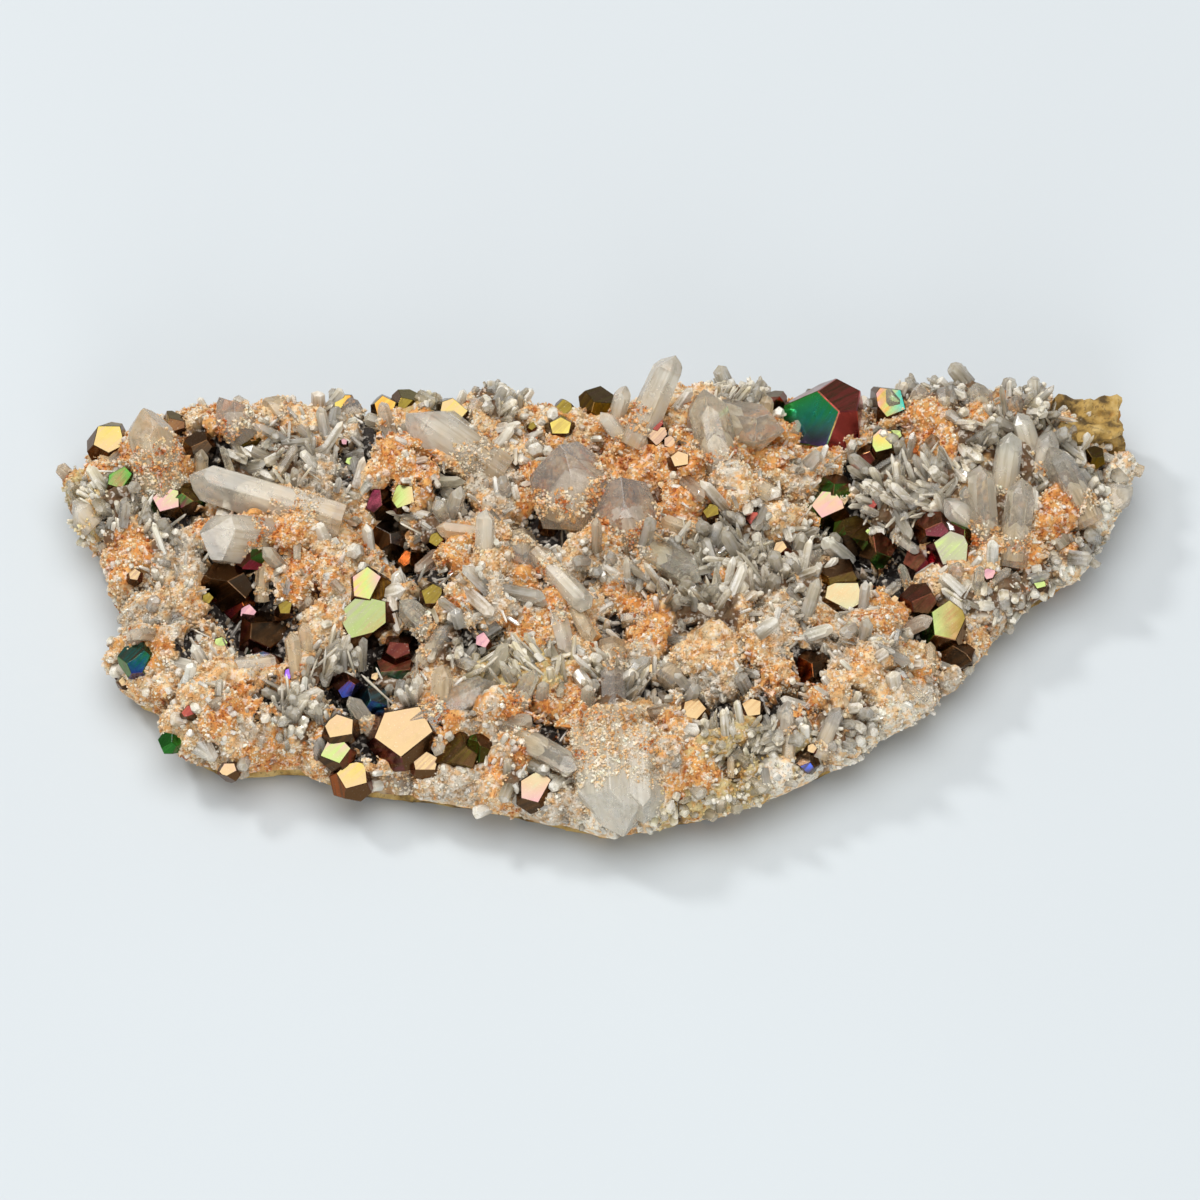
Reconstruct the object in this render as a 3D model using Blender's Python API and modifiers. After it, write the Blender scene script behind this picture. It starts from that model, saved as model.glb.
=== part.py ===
"""Rainbow pyrite on quartz: a hand-long plate of mineral specimen, lying on its back.

A thin plate of ochre host rock carries a knobbly quartz crust. Hexagonal quartz crystals are
grown into the crust, and iridescent pyrite crystals (pyritohedra, twelve pentagons each) sit in
pockets of it. Metres, +Z up. The origin is on the flat underside, near the middle of the plate.
"""

import math
import random

import bmesh
import bpy
import numpy as np
from mathutils import Matrix, Vector

MM = 0.001

# Driving dimensions
PIXEL = 0.18 * MM  # what one pixel of the reference photograph (1200 x 1200) spans at the plate
VIEW_ELEVATION = math.radians(58.0)  # how far above the horizon the photograph looks from
VIEW_DISTANCE = 2.4
VIEW_CENTRE = Vector((0.0, 0.0, 10.0 * MM))  # what the middle of the photograph looks at
PHOTO_MIDDLE = 600.0

ROCK_TOP = 5.0 * MM  # thickness of the host rock
GAP = 0.3 * MM  # between two minerals that touch
CRUST_FLOOR = ROCK_TOP + GAP
CRUST_TOP = 14.5 * MM  # mean height of the crust away from its rim
RIM_TOP = 9.5 * MM  # height of the crust at its rim
RIM_WIDTH = 9.0 * MM  # how far in from the edge the crust reaches its mean height
ROCK_INSET = 1.6 * MM  # the crust overhangs the rock by this much
FAR_RIM_HEIGHT = 12.0 * MM  # level at which the far outline is seen
NEAR_RIM_HEIGHT = 6.0 * MM  # level at which the near outline is seen

# The block of bare rock at the far right corner: its middle in the photograph, top and half sizes
CORNER_PIXEL = (1090, 416)
CORNER_TOP = 15.5 * MM
CORNER_HALVES = (6.0 * MM, 5.0 * MM, 7.2 * MM)

# The plate's outline as pixels of the photograph: the far edge from left to right, then back
FAR_EDGE = (
    (68, 474), (88, 448), (104, 432), (138, 420), (165, 412), (200, 398), (240, 402), (290, 400),
    (340, 399), (390, 400), (440, 394), (490, 389), (530, 398), (570, 406), (610, 402), (660, 386),
    (710, 379), (760, 387), (820, 398), (880, 394), (940, 384), (1000, 384), (1050, 390),
    (1084, 394), (1104, 414), (1116, 446),
)
NEAR_EDGE = (
    (1136, 470), (1120, 508), (1098, 546), (1074, 581), (1037, 597), (1005, 627), (980, 657),
    (956, 687), (928, 711), (890, 734), (852, 761), (800, 784), (762, 801), (716, 815),
    (662, 828), (615, 838), (575, 827), (530, 818), (480, 808), (430, 798), (355, 792), (322, 781),
    (296, 768), (240, 772), (200, 768), (172, 747), (156, 712), (118, 688), (106, 670), (126, 641),
    (116, 606), (106, 572), (86, 542), (66, 508),
)

# Knobs of the crust: pixel, radius and height, in mm. A negative height is a hollow.
KNOBS = (
    ((158, 478), 6, 5), ((235, 425), 6, 3), ((270, 530), 9, 4), ((120, 570), 8, 3),
    ((330, 590), 7, 4), ((215, 715), 9, 5), ((150, 675), 6, 3), ((165, 625), 7, 3),
    ((410, 465), 8, 5), ((470, 600), 11, 6), ((575, 490), 7, 5), ((600, 545), 9, 4),
    ((640, 430), 6, 4), ((705, 460), 9, 5), ((740, 500), 8, 4), ((760, 650), 12, 5),
    ((700, 640), 8, 3), ((870, 675), 10, 4), ((880, 620), 7, 3), ((640, 755), 10, 3),
    ((540, 700), 8, 4), ((470, 715), 8, 4), ((1065, 510), 8, 4), ((1000, 440), 10, 3),
    ((930, 410), 8, 3), ((700, 745), 8, 3), ((310, 720), 6, 3),
    ((235, 600), 7, -5), ((262, 635), 6, -4), ((370, 520), 7, -4), ((400, 560), 6, -4),
    ((395, 655), 7, -5), ((360, 690), 6, -3), ((445, 500), 5, -4), ((545, 530), 5, -4),
    ((620, 605), 6, -4), ((660, 680), 7, -4), ((720, 705), 7, -4), ((812, 668), 5, -5),
    ((840, 540), 9, -5), ((910, 560), 8, -4), ((880, 470), 7, -3), ((840, 600), 6, -3),
    ((455, 745), 6, -3), ((385, 745), 6, -2), ((500, 650), 6, -3), ((930, 640), 5, -3),
)

# Quartz crystals: pixel of the root, pixel of the tip, thickness and rise of the tip over the
# root, both in mm
QUARTZ = (
    ((158, 478), (143, 405), 8.0, 10.0), ((240, 428), (217, 394), 6.5, 3.5),
    ((280, 414), (262, 399), 6.0, 3.0), ((200, 474), (202, 448), 2.7, 3.5),
    ((306, 512), (186, 476), 7.0, 2.5), ((246, 540), (198, 534), 8.5, 6.0),
    ((134, 506), (141, 484), 3.0, 3.0), ((478, 462), (403, 410), 8.0, 5.0),
    ((486, 456), (430, 410), 5.0, 3.0), ((574, 492), (556, 440), 13.0, 9.0),
    ((627, 526), (624, 474), 11.0, 9.0), ((484, 558), (486, 507), 3.0, 5.5),
    ((480, 534), (434, 528), 2.8, 1.5), ((432, 514), (422, 490), 2.6, 3.0),
    ((522, 548), (528, 580), 5.0, 2.0), ((550, 568), (591, 611), 4.2, 2.0),
    ((574, 606), (592, 642), 2.6, 1.6), ((558, 616), (569, 659), 3.0, 1.2),
    ((430, 632), (399, 598), 4.2, 3.5), ((428, 656), (456, 620), 4.6, 3.0),
    ((440, 704), (443, 662), 3.6, 5.0), ((437, 742), (419, 702), 2.8, 3.0),
    ((432, 714), (500, 680), 5.4, 3.0), ((520, 702), (536, 667), 3.2, 3.4),
    ((522, 738), (580, 770), 4.6, 2.2), ((308, 656), (303, 620), 2.6, 4.0),
    ((297, 674), (291, 630), 2.6, 4.5), ((258, 668), (208, 673), 4.0, 1.6),
    ((368, 724), (348, 695), 3.0, 2.4),
    ((644, 424), (676, 352), 5.8, 8.0), ((616, 420), (626, 384), 3.0, 5.0),
    ((620, 438), (600, 410), 3.0, 3.0), ((718, 452), (702, 386), 6.4, 8.0),
    ((716, 424), (788, 432), 7.6, 2.5),
    ((688, 530), (656, 518), 2.6, 1.4), ((759, 488), (720, 468), 3.0, 1.6),
    ((806, 572), (821, 547), 2.4, 2.6), ((644, 546), (702, 582), 5.0, 2.0),
    ((683, 664), (744, 596), 4.0, 2.2), ((640, 618), (700, 610), 2.6, 1.8),
    ((986, 538), (980, 462), 5.4, 9.0), ((1014, 544), (1024, 476), 5.0, 8.0),
    ((1003, 488), (1012, 430), 4.6, 7.0), ((1080, 506), (1050, 444), 5.4, 6.0),
    ((974, 524), (944, 497), 4.4, 3.0), ((973, 522), (965, 484), 2.8, 4.5),
    ((1030, 452), (1018, 410), 4.0, 4.5), ((1040, 470), (1052, 428), 4.0, 4.5),
    ((955, 582), (958, 560), 2.8, 3.0), ((823, 745), (841, 703), 2.8, 4.0),
    ((786, 730), (788, 698), 3.4, 3.4),
    ((614, 742), (621, 842), 12.0, -7.0), ((640, 752), (644, 829), 8.0, -6.0),
    ((594, 752), (600, 822), 7.6, -5.0), ((612, 664), (614, 724), 4.6, 1.2),
    ((892, 408), (888, 386), 3.4, 3.0), ((918, 402), (922, 382), 3.0, 3.0),
    ((944, 404), (946, 384), 3.8, 3.0), ((980, 404), (978, 381), 4.6, 3.0),
    ((1012, 412), (1018, 394), 3.6, 2.4), ((352, 414), (350, 394), 4.2, 2.6),
    ((474, 414), (484, 395), 4.4, 2.6), ((1112, 500), (1134, 486), 4.4, 1.5),
    ((90, 520), (70, 500), 5.0, 1.5),
)

# Pyrite crystals by node. Each: pixel of the middle, size in mm, and how its nearest face lies:
# degrees it is turned right of and above the viewer, then its spin. Neighbours that have grown
# into one another share a node.
PYRITE = {
    "pyrite_far_left": (((108, 444), 7.6, (4, 21, 182)),),
    "pyrite_sepia_far": (((173, 425), 4.8, (30, 60, 0)),),
    "pyrite_brown_left": (((199, 447), 5.2, (-25, 50, 20)),),
    "pyrite_olive_left": (((247, 436), 4.4, (20, 45, 40)),),
    "pyrite_striped_left": (((122, 482), 5.2, (-13, 21, 50)),),
    "pyrite_rose_left": (((166, 505), 6.0, (0, 15, 15)), ((186, 500), 5.6, (40, 40, 60))),
    "pyrite_gold_far_a": (((343, 406), 4.6, (0, 18, 30)),),
    "pyrite_olive_far": (((405, 404), 5.2, (30, 60, 0)), ((385, 409), 4.6, (0, 18, 75))),
    "pyrite_gold_far_b": (((452, 416), 7.0, (0, 18, 50)),),
    "pyrite_dome_far": (((598, 408), 7.4, (25, 55, 15)),),
    "pyrite_gold_far_c": (((560, 430), 5.4, (0, 18, 0)),),
    "pyrite_grey_face": (
        ((390, 538), 7.2, (10, 60, 35)), ((410, 562), 5.0, (50, 10, 0)),
        ((402, 499), 5.2, (0, 18, 20)), ((380, 505), 5.6, (50, 20, 10)),
    ),
    "pyrite_striped_stack": (
        ((366, 624), 9.6, (-6, 22, 12)), ((366, 592), 7.6, (0, 18, 65)),
        ((398, 652), 7.0, (20, 70, 0)), ((396, 672), 7.4, (0, 35, 5)),
    ),
    "pyrite_deep_blue": (((346, 686), 5.6, (-40, 30, 20)), ((374, 702), 6.4, (30, 40, 0))),
    "pyrite_gold_pentagon": (
        ((405, 737), 11.8, (0, 18, 40)), ((425, 765), 5.2, (0, 18, 0)),
        ((460, 758), 8.4, (-35, 30, 25)), ((481, 750), 5.8, (40, 40, 0)),
    ),
    "pyrite_yellow_low": (
        ((350, 780), 7.2, (6, 20, 20)), ((336, 754), 6.0, (0, 18, 55)),
        ((340, 729), 6.0, (0, 18, 10)),
    ),
    "pyrite_green_pentagon": (((537, 790), 7.4, (0, 18, 62)),),
    "pyrite_brown_pentagon": (
        ((225, 584), 9.0, (-4, 50, 36)), ((254, 561), 5.8, (35, 20, 0)),
        ((240, 606), 5.6, (-35, 0, 20)), ((262, 634), 9.6, (12, 64, 20)),
        ((264, 662), 5.6, (0, 0, 45)),
    ),
    "pyrite_teal_edge": (((138, 660), 6.2, (-38, 40, 20)),),
    "pyrite_green_edge": (((172, 742), 4.0, (-40, 20, 0)),),
    "pyrite_pink_edge": (((229, 772), 4.0, (0, 18, 30)),),
    "pyrite_rainbow_great": (
        ((826, 425), 14.0, (-33, 4, 331)), ((866, 459), 5.6, (-40, 50, 0)),
        ((882, 444), 5.6, (0, 18, 15)),
    ),
    "pyrite_maroon_far": (((775, 404), 4.8, (-20, 70, 0)),),
    "pyrite_rainbow_small": (((886, 408), 7.0, (11, 20, 30)),),
    "pyrite_pink_flash": (
        ((828, 510), 6.8, (0, 18, 25)), ((834, 490), 6.0, (30, 60, 30)),
        ((852, 536), 7.4, (30, 30, 10)), ((878, 553), 6.8, (30, 30, 0)),
    ),
    "pyrite_lime_face": (
        ((953, 554), 8.2, (0, 20, 8)), ((934, 530), 6.6, (-30, 50, 15)),
        ((960, 534), 6.0, (30, 60, 40)), ((920, 562), 5.2, (-30, 20, 30)),
    ),
    "pyrite_brown_great": (((843, 600), 7.6, (2, 19, 182)), ((838, 581), 8.0, (-12, 58, 20))),
    "pyrite_olive_blade": (
        ((947, 626), 8.6, (10, 18, 70)), ((919, 605), 7.6, (-20, 55, 25)),
        ((956, 655), 6.0, (40, 50, 0)),
    ),
    "pyrite_cave_right": (((812, 668), 7.0, (0, 60, 30)),),
    "pyrite_copper_a": (((693, 714), 5.4, (0, 22, 50)),),
    "pyrite_copper_b": (((753, 712), 4.8, (0, 22, 10)),),
    "pyrite_peach_pair": (((658, 438), 4.0, (0, 18, 30)), ((669, 444), 3.0, (0, 18, 60))),
    "pyrite_peach_far": (((681, 462), 4.4, (0, 18, 10)),),
    "pyrite_gold_middle": (((550, 522), 4.8, (0, 18, 25)),),
    "pyrite_blue_black": (((806, 762), 4.4, (-20, 30, 10)),),
    "pyrite_olive_right": (((1093, 458), 4.6, (20, 40, 20)),),
}

# Colour (sRGB), roughness and metallic value of each mineral's plain finish
ROCK_LOOK = ((0.55, 0.44, 0.28), 0.90, 0.0)
QUARTZ_LOOK = ((0.76, 0.70, 0.64), 0.35, 0.0)
PYRITE_LOOK = ((0.62, 0.50, 0.26), 0.22, 1.0)

# The crust's unevenness: waves across and along in radians a millimetre, with their phase
RIPPLES = ((0.61, 0.23, 0.0), (-0.34, 0.72, 1.3), (0.83, -0.57, 2.1), (0.19, 1.07, 4.0))
RIPPLE_HEIGHT = 0.32 * MM  # of each wave
RIM_SWAY = 0.9 * MM  # how far the crust's outer wall sways
RIM_BAND = 1.0 * MM  # width of the wall that sways
RIM_KNOB = 0.35  # how high a knob stands at the very rim, as a share of its height
BELOW = 2.0 * MM  # how far a slab starts under the level at which it is cut flat
CRUST_VOXEL = 2.0 * MM
ROCK_VOXEL = 3.0 * MM
ROCK_SWAY = 0.6 * MM
ROCK_UNDERCUT = 0.03  # share by which the rock's lowest edge draws in
CORNER_ROUNDING = 0.20
CORNER_BUMP = 0.10

ROCK_TRIANGLES = 260
CRUST_TRIANGLES = 1400
GROWN_TRIANGLES = 4900  # of the crust with its crystals, before the pockets are cut
FINISHED_TRIANGLES = 6440  # of the crust with its pockets

QUARTZ_ROOT = 0.30  # share of a crystal's length that is buried
QUARTZ_SINK = 0.12  # how deep its root lies under the crust, in thicknesses
QUARTZ_POINT = 0.58  # height of a crystal's point, in thicknesses
QUARTZ_MOST_POINT = 0.55  # the same, as the largest share of its length
QUARTZ_FOOT = 0.56  # radius at the root, in thicknesses
QUARTZ_NECK = 0.50  # radius under the point
QUARTZ_APEX = (0.10, 0.06)  # how far the tip lies off the axis
PYRITE_PROUD = -0.13  # how far a pyrite's middle stands out of the crust, in sizes
PYRITE_DEPTHS = (0.82, 1.10)  # least and most depth of a face, in half sizes
PYRITE_FRONT = 0.78  # the nearest face lies in by this, which makes it the largest
PYRITE_CONTACTS = ((0.58, 0.82),)  # depths of the flat sides upright to it, in half sizes
CONTACT_LARGEST = 11.0 * MM  # a larger crystal has no such side

SIGHT_STEPS = 24  # of the search for where a sight line meets the crust
LEAST_SPLINTER = 0.2  # a loose body with less than this share of the points is a splinter


def clear_scene():
    for obj in list(bpy.data.objects):
        bpy.data.objects.remove(obj)


def collection(name):
    made = bpy.data.collections.new(name)
    bpy.context.scene.collection.children.link(made)
    return made


def srgb_to_linear(value):
    return value / 12.92 if value <= 0.04045 else ((value + 0.055) / 1.055) ** 2.4


def material(name, look):
    colour, roughness, metallic = look
    made = bpy.data.materials.new(name)
    made.use_nodes = True
    shader = made.node_tree.nodes["Principled BSDF"]
    linear = [srgb_to_linear(channel) for channel in colour]
    shader.inputs["Base Color"].default_value = (*linear, 1.0)
    shader.inputs["Roughness"].default_value = roughness
    shader.inputs["Metallic"].default_value = metallic
    return made


# Places read off the photograph


def view_axes():
    """The viewing direction and the photograph's up, as seen from the camera's place."""
    forward = Vector((0.0, math.cos(VIEW_ELEVATION), -math.sin(VIEW_ELEVATION)))
    up = Vector((0.0, math.sin(VIEW_ELEVATION), math.cos(VIEW_ELEVATION)))
    return forward, up


def sight_line(pixel):
    """Start and direction of the line of sight through a pixel of the photograph."""
    forward, up = view_axes()
    eye = VIEW_CENTRE - forward * VIEW_DISTANCE
    right = Vector((1.0, 0.0, 0.0))
    aside = (pixel[0] - PHOTO_MIDDLE) * PIXEL / VIEW_DISTANCE
    above = (PHOTO_MIDDLE - pixel[1]) * PIXEL / VIEW_DISTANCE
    return eye, (forward + right * aside + up * above).normalized()


def seen_at(pixel, height):
    """The point at that height over the underside which the pixel shows."""
    eye, way = sight_line(pixel)
    return eye + way * ((height - eye.z) / way.z)


def outline():
    """The plate's plan outline, anticlockwise when seen from above."""
    far = [seen_at(pixel, FAR_RIM_HEIGHT).xy for pixel in FAR_EDGE]
    near = [seen_at(pixel, NEAR_RIM_HEIGHT).xy for pixel in NEAR_EDGE]
    return list(reversed(far + near))


# The crust and the rock under it


def distance_inside(points, edge):
    """How far each plan point lies inside the closed outline, and 0 outside it."""
    start = np.array(edge, float)
    span = np.roll(start, -1, axis=0) - start
    offset = points[:, None, :] - start[None, :, :]
    share = np.clip((offset * span).sum(2) / (span**2).sum(1), 0.0, 1.0)
    away = np.sqrt(((offset - share[..., None] * span) ** 2).sum(2)).min(1)
    crosses = (offset[..., 1] < 0) != (offset[..., 1] < span[..., 1])
    left = offset[..., 0] * span[..., 1] < offset[..., 1] * span[..., 0]
    within = (crosses & (left == (span[..., 1] > 0))).sum(1) % 2 == 1
    return away * within


def ripple(x, y):
    """A gentle unevenness of about a millimetre, made of a few crossed waves."""
    total = sum(np.sin((a * x + b * y) / MM + phase) for a, b, phase in RIPPLES)
    return RIPPLE_HEIGHT * total


def crust_height(x, y, inside):
    """Height of the crust over the plan point (x, y), which lies that far inside the outline."""
    rise = np.clip(inside / RIM_WIDTH, 0.0, 1.0)
    height = RIM_TOP + (CRUST_TOP - RIM_TOP) * np.sqrt(rise)
    for pixel, radius, knob in KNOBS:
        middle = seen_at(pixel, CRUST_TOP)
        away = ((x - middle.x) ** 2 + (y - middle.y) ** 2) / (radius * MM) ** 2
        share = RIM_KNOB + (1.0 - RIM_KNOB) * rise
        height = height + knob * MM * np.exp(-away) * share
    return height + ripple(x, y) * rise


def slab(name, edge, floor, top):
    """A flat plate of that outline, as a mesh object."""
    curve = bpy.data.curves.new(name, "CURVE")
    curve.dimensions = "2D"
    curve.fill_mode = "BOTH"
    curve.extrude = (top - floor) / 2
    line = curve.splines.new("POLY")
    line.points.add(len(edge) - 1)
    for point, (x, y) in zip(line.points, edge):
        point.co = (x, y, 0.0, 1.0)
    line.use_cyclic_u = True
    flat = bpy.data.objects.new(name + "_outline", curve)
    bpy.context.scene.collection.objects.link(flat)
    bpy.context.view_layer.update()
    graph = bpy.context.evaluated_depsgraph_get()
    mesh = bpy.data.meshes.new_from_object(flat.evaluated_get(graph))
    bpy.data.objects.remove(flat)
    weld = bmesh.new()
    weld.from_mesh(mesh)
    bmesh.ops.remove_doubles(weld, verts=weld.verts, dist=0.01 * MM)
    bmesh.ops.translate(weld, verts=weld.verts, vec=(0.0, 0.0, (top + floor) / 2))
    bmesh.ops.recalc_face_normals(weld, faces=weld.faces)
    weld.to_mesh(mesh)
    weld.free()
    return bpy.data.objects.new(name, mesh)


def baked(obj, home):
    """The object with its modifiers applied, in that collection."""
    bpy.context.view_layer.update()
    graph = bpy.context.evaluated_depsgraph_get()
    mesh = bpy.data.meshes.new_from_object(obj.evaluated_get(graph))
    obj.modifiers.clear()
    obj.data = mesh
    for other in list(obj.users_collection):
        other.objects.unlink(obj)
    home.objects.link(obj)
    return obj


def remeshed(obj, voxel, home):
    remesh = obj.modifiers.new("Remesh", "REMESH")
    remesh.mode = "VOXEL"
    remesh.voxel_size = voxel
    return baked(obj, home)


def thinned(obj, triangles, home):
    now = sum(len(face.vertices) - 2 for face in obj.data.polygons)
    decimate = obj.modifiers.new("Decimate", "DECIMATE")
    decimate.ratio = min(1.0, triangles / now)
    decimate.use_collapse_triangulate = True
    return baked(obj, home)


def mesh_points(obj):
    points = np.empty(len(obj.data.vertices) * 3)
    obj.data.vertices.foreach_get("co", points)
    return points.reshape(-1, 3)


def set_mesh_points(obj, points):
    obj.data.vertices.foreach_set("co", points.ravel())
    obj.data.update()


def flattened(obj, level, home):
    """The object cut off flat at that level, keeping what is above it."""
    cut = bmesh.new()
    cut.from_mesh(obj.data)
    everything = cut.verts[:] + cut.edges[:] + cut.faces[:]
    made = bmesh.ops.bisect_plane(
        cut, geom=everything, plane_co=(0.0, 0.0, level), plane_no=(0.0, 0.0, 1.0),
        clear_inner=True,
    )
    rim = [item for item in made["geom_cut"] if isinstance(item, bmesh.types.BMEdge)]
    bmesh.ops.contextual_create(cut, geom=rim)
    bmesh.ops.recalc_face_normals(cut, faces=cut.faces)
    bmesh.ops.triangulate(cut, faces=cut.faces)
    cut.to_mesh(obj.data)
    cut.free()
    return baked(obj, home)


def make_crust(edge, home):
    """The quartz crust alone: a slab remeshed, raised into knobs and hollows, and thinned."""
    below = CRUST_FLOOR - BELOW
    crust = linked(slab("quartz_crust", edge, below, RIM_TOP), home)
    crust = remeshed(crust, CRUST_VOXEL, home)
    points = mesh_points(crust)
    inside = distance_inside(points[:, :2], edge)
    share = np.clip((points[:, 2] - below) / (RIM_TOP - below), 0.0, 1.0)
    top = crust_height(points[:, 0], points[:, 1], inside)
    points[:, 2] = below + share * (top - below)
    sway = np.sin(points[:, 0] / (2.3 * MM)) * np.sin(points[:, 1] / (1.9 * MM) + 0.7)
    points[:, 1] += RIM_SWAY * sway * (inside < RIM_BAND)
    set_mesh_points(crust, points)
    return flattened(thinned(crust, CRUST_TRIANGLES, home), CRUST_FLOOR, home)


def rock_corner(extra=0.0):
    """The block of bare host rock that stands at the plate's far right corner."""
    middle = seen_at(CORNER_PIXEL, CORNER_TOP)
    block = bmesh.new()
    bmesh.ops.create_cube(block, size=2.0)
    bmesh.ops.subdivide_edges(block, edges=block.edges[:], cuts=2, use_grid_fill=True)
    for vertex in block.verts:
        co = vertex.co
        round_off = 1.0 - CORNER_ROUNDING * (co.length - 1.0)
        bump = 1.0 + CORNER_BUMP * math.sin(7.0 * co.x + 5.0 * co.y + 3.0 * co.z)
        size = [half * bump * round_off + extra for half in CORNER_HALVES]
        vertex.co = Vector((co.x * size[0], co.y * size[1], co.z * size[2]))
        vertex.co += Vector((middle.x, middle.y, CORNER_TOP - CORNER_HALVES[2]))
    bmesh.ops.recalc_face_normals(block, faces=block.faces)
    bmesh.ops.triangulate(block, faces=block.faces)
    mesh = bpy.data.meshes.new("rock_corner")
    block.to_mesh(mesh)
    block.free()
    return bpy.data.objects.new("rock_corner", mesh)


def make_rock(edge, home):
    """The host rock: a thin plate a little inside the crust, and its bare corner."""
    middle = Vector((sum(x for x, _ in edge), sum(y for _, y in edge))) / len(edge)
    inner = []
    for x, y in edge:
        out = Vector((x, y)) - middle
        inner.append(middle + out * (1.0 - ROCK_INSET / out.length))
    rock = linked(slab("matrix_rock", inner, -BELOW, ROCK_TOP), home)
    rock = remeshed(rock, ROCK_VOXEL, home)
    points = mesh_points(rock)
    rim = distance_inside(points[:, :2], inner) < 2.0 * RIM_BAND
    wave = np.sin(points[:, 0] / (3.1 * MM) + 2.0) * np.cos(points[:, 2] / (1.7 * MM))
    points[:, 0] += ROCK_SWAY * wave * rim
    under = np.clip((BELOW - points[:, 2]) / ROCK_VOXEL, 0.0, 1.0) * rim
    points[:, :2] -= (points[:, :2] - np.array(middle)) * ROCK_UNDERCUT * under[:, None]
    points[:, 2] = np.minimum(points[:, 2], ROCK_TOP)
    set_mesh_points(rock, points)
    rock = flattened(thinned(rock, ROCK_TRIANGLES, home), 0.0, home)
    corner = linked(rock_corner(), home)
    joined(rock, corner, "UNION")
    baked(rock, home)
    bpy.data.objects.remove(corner)
    return rock


def joined(obj, other, operation):
    change = obj.modifiers.new(operation, "BOOLEAN")
    change.operation = operation
    if isinstance(other, bpy.types.Collection):
        change.operand_type = "COLLECTION"
        change.collection = other
    else:
        change.object = other


def linked(obj, home):
    home.objects.link(obj)
    return obj


# Crystals


def quartz_crystal(name, root, tip, thickness, twist):
    """A hexagonal prism with a six-sided point, from its root to its tip."""
    axis = tip - root
    length = axis.length
    point = min(QUARTZ_POINT * thickness, QUARTZ_MOST_POINT * length)
    buried = QUARTZ_ROOT * length
    shape = bmesh.new()
    prism = length - point + buried
    bmesh.ops.create_cone(
        shape, cap_ends=True, segments=6, radius1=thickness * QUARTZ_FOOT,
        radius2=thickness * QUARTZ_NECK, depth=prism,
    )
    bmesh.ops.translate(shape, verts=shape.verts, vec=(0.0, 0.0, prism / 2 - buried))
    cap = max(shape.faces, key=lambda face: face.calc_center_median().z)
    apex = bmesh.ops.poke(shape, faces=[cap])["verts"][0]
    apex.co = Vector((QUARTZ_APEX[0] * thickness, QUARTZ_APEX[1] * thickness, length))
    mesh = bpy.data.meshes.new(name)
    shape.to_mesh(mesh)
    shape.free()
    obj = bpy.data.objects.new(name, mesh)
    turn = axis.to_track_quat("Z", "Y").to_matrix().to_4x4() @ Matrix.Rotation(twist, 4, "Z")
    obj.matrix_world = Matrix.Translation(root) @ turn
    return obj


def on_crust(pixel, edge):
    """Where the sight line through that pixel meets the crust."""
    height = CRUST_TOP
    for _ in range(SIGHT_STEPS):
        place = seen_at(pixel, height)
        plan = np.array([[place.x, place.y]])
        under = crust_height(plan[:, 0], plan[:, 1], distance_inside(plan, edge))[0]
        height += (under - height) / 2
    return seen_at(pixel, height)


def add_quartz(edge, home):
    """All the named quartz crystals, standing in the crust."""
    turns = random.Random(5)
    for number, (root_pixel, tip_pixel, thickness, rise) in enumerate(QUARTZ):
        surface = on_crust(root_pixel, edge).z
        root = seen_at(root_pixel, surface - QUARTZ_SINK * thickness * MM)
        tip = seen_at(tip_pixel, surface + rise * MM)
        twist = turns.uniform(0.0, math.pi / 3)
        linked(quartz_crystal(f"quartz_{number}", root, tip, thickness * MM, twist), home)


def pyritohedron_faces():
    """The twelve face directions of a pyritohedron: (0, 1, 2) and its cyclic turns."""
    faces = []
    for a in (1, -1):
        for b in (2, -2):
            faces += [Vector((0, a, b)), Vector((a, b, 0)), Vector((b, 0, a))]
    return [face.normalized() for face in faces]


def pyrite_crystal(name, size, shapes, extra=0.0):
    """A pyritohedron cut from a cube, its faces at uneven depths and flat where others stopped it."""
    cut = bmesh.new()
    bmesh.ops.create_cube(cut, size=size * 2)
    faces = pyritohedron_faces()
    depths = [shapes.uniform(*PYRITE_DEPTHS) for _ in faces]
    depths[0] = PYRITE_FRONT
    level = (Vector((1.0, 0.0, 0.0)), faces[0].cross(Vector((1.0, 0.0, 0.0))))
    for least, most in PYRITE_CONTACTS if size < CONTACT_LARGEST else ():
        turn = shapes.uniform(0.0, 2 * math.pi)
        faces.append(level[0] * math.cos(turn) + level[1] * math.sin(turn))
        depths.append(shapes.uniform(least, most))
    for face, share in zip(faces, depths):
        depth = size / 2 * share + extra
        everything = cut.verts[:] + cut.edges[:] + cut.faces[:]
        made = bmesh.ops.bisect_plane(
            cut, geom=everything, plane_co=face * depth, plane_no=face, clear_outer=True,
        )
        rim = [item for item in made["geom_cut"] if isinstance(item, bmesh.types.BMEdge)]
        if rim:
            bmesh.ops.contextual_create(cut, geom=rim)
    bmesh.ops.recalc_face_normals(cut, faces=cut.faces)
    mesh = bpy.data.meshes.new(name)
    cut.to_mesh(mesh)
    cut.free()
    return bpy.data.objects.new(name, mesh)


def pyrite_turn(lie):
    """The rotation that lays a crystal's (0, 1, 2) face as its row says."""
    right, above, spin = (math.radians(angle) for angle in lie)
    forward, up = view_axes()
    toward = -forward
    facing = toward * math.cos(right) * math.cos(above) + up * math.sin(above)
    facing = (facing + Vector((1.0, 0.0, 0.0)) * math.sin(right) * math.cos(above)).normalized()
    level = (Vector((0, 1, 2)).normalized()).rotation_difference(facing).to_matrix().to_4x4()
    return Matrix.Rotation(spin, 4, facing) @ level


def pyrite_place(edge, pixel, size):
    """The middle of a crystal whose seen side covers that pixel."""
    _, way = sight_line(pixel)
    return on_crust(pixel, edge) - way * size * PYRITE_PROUD


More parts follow.
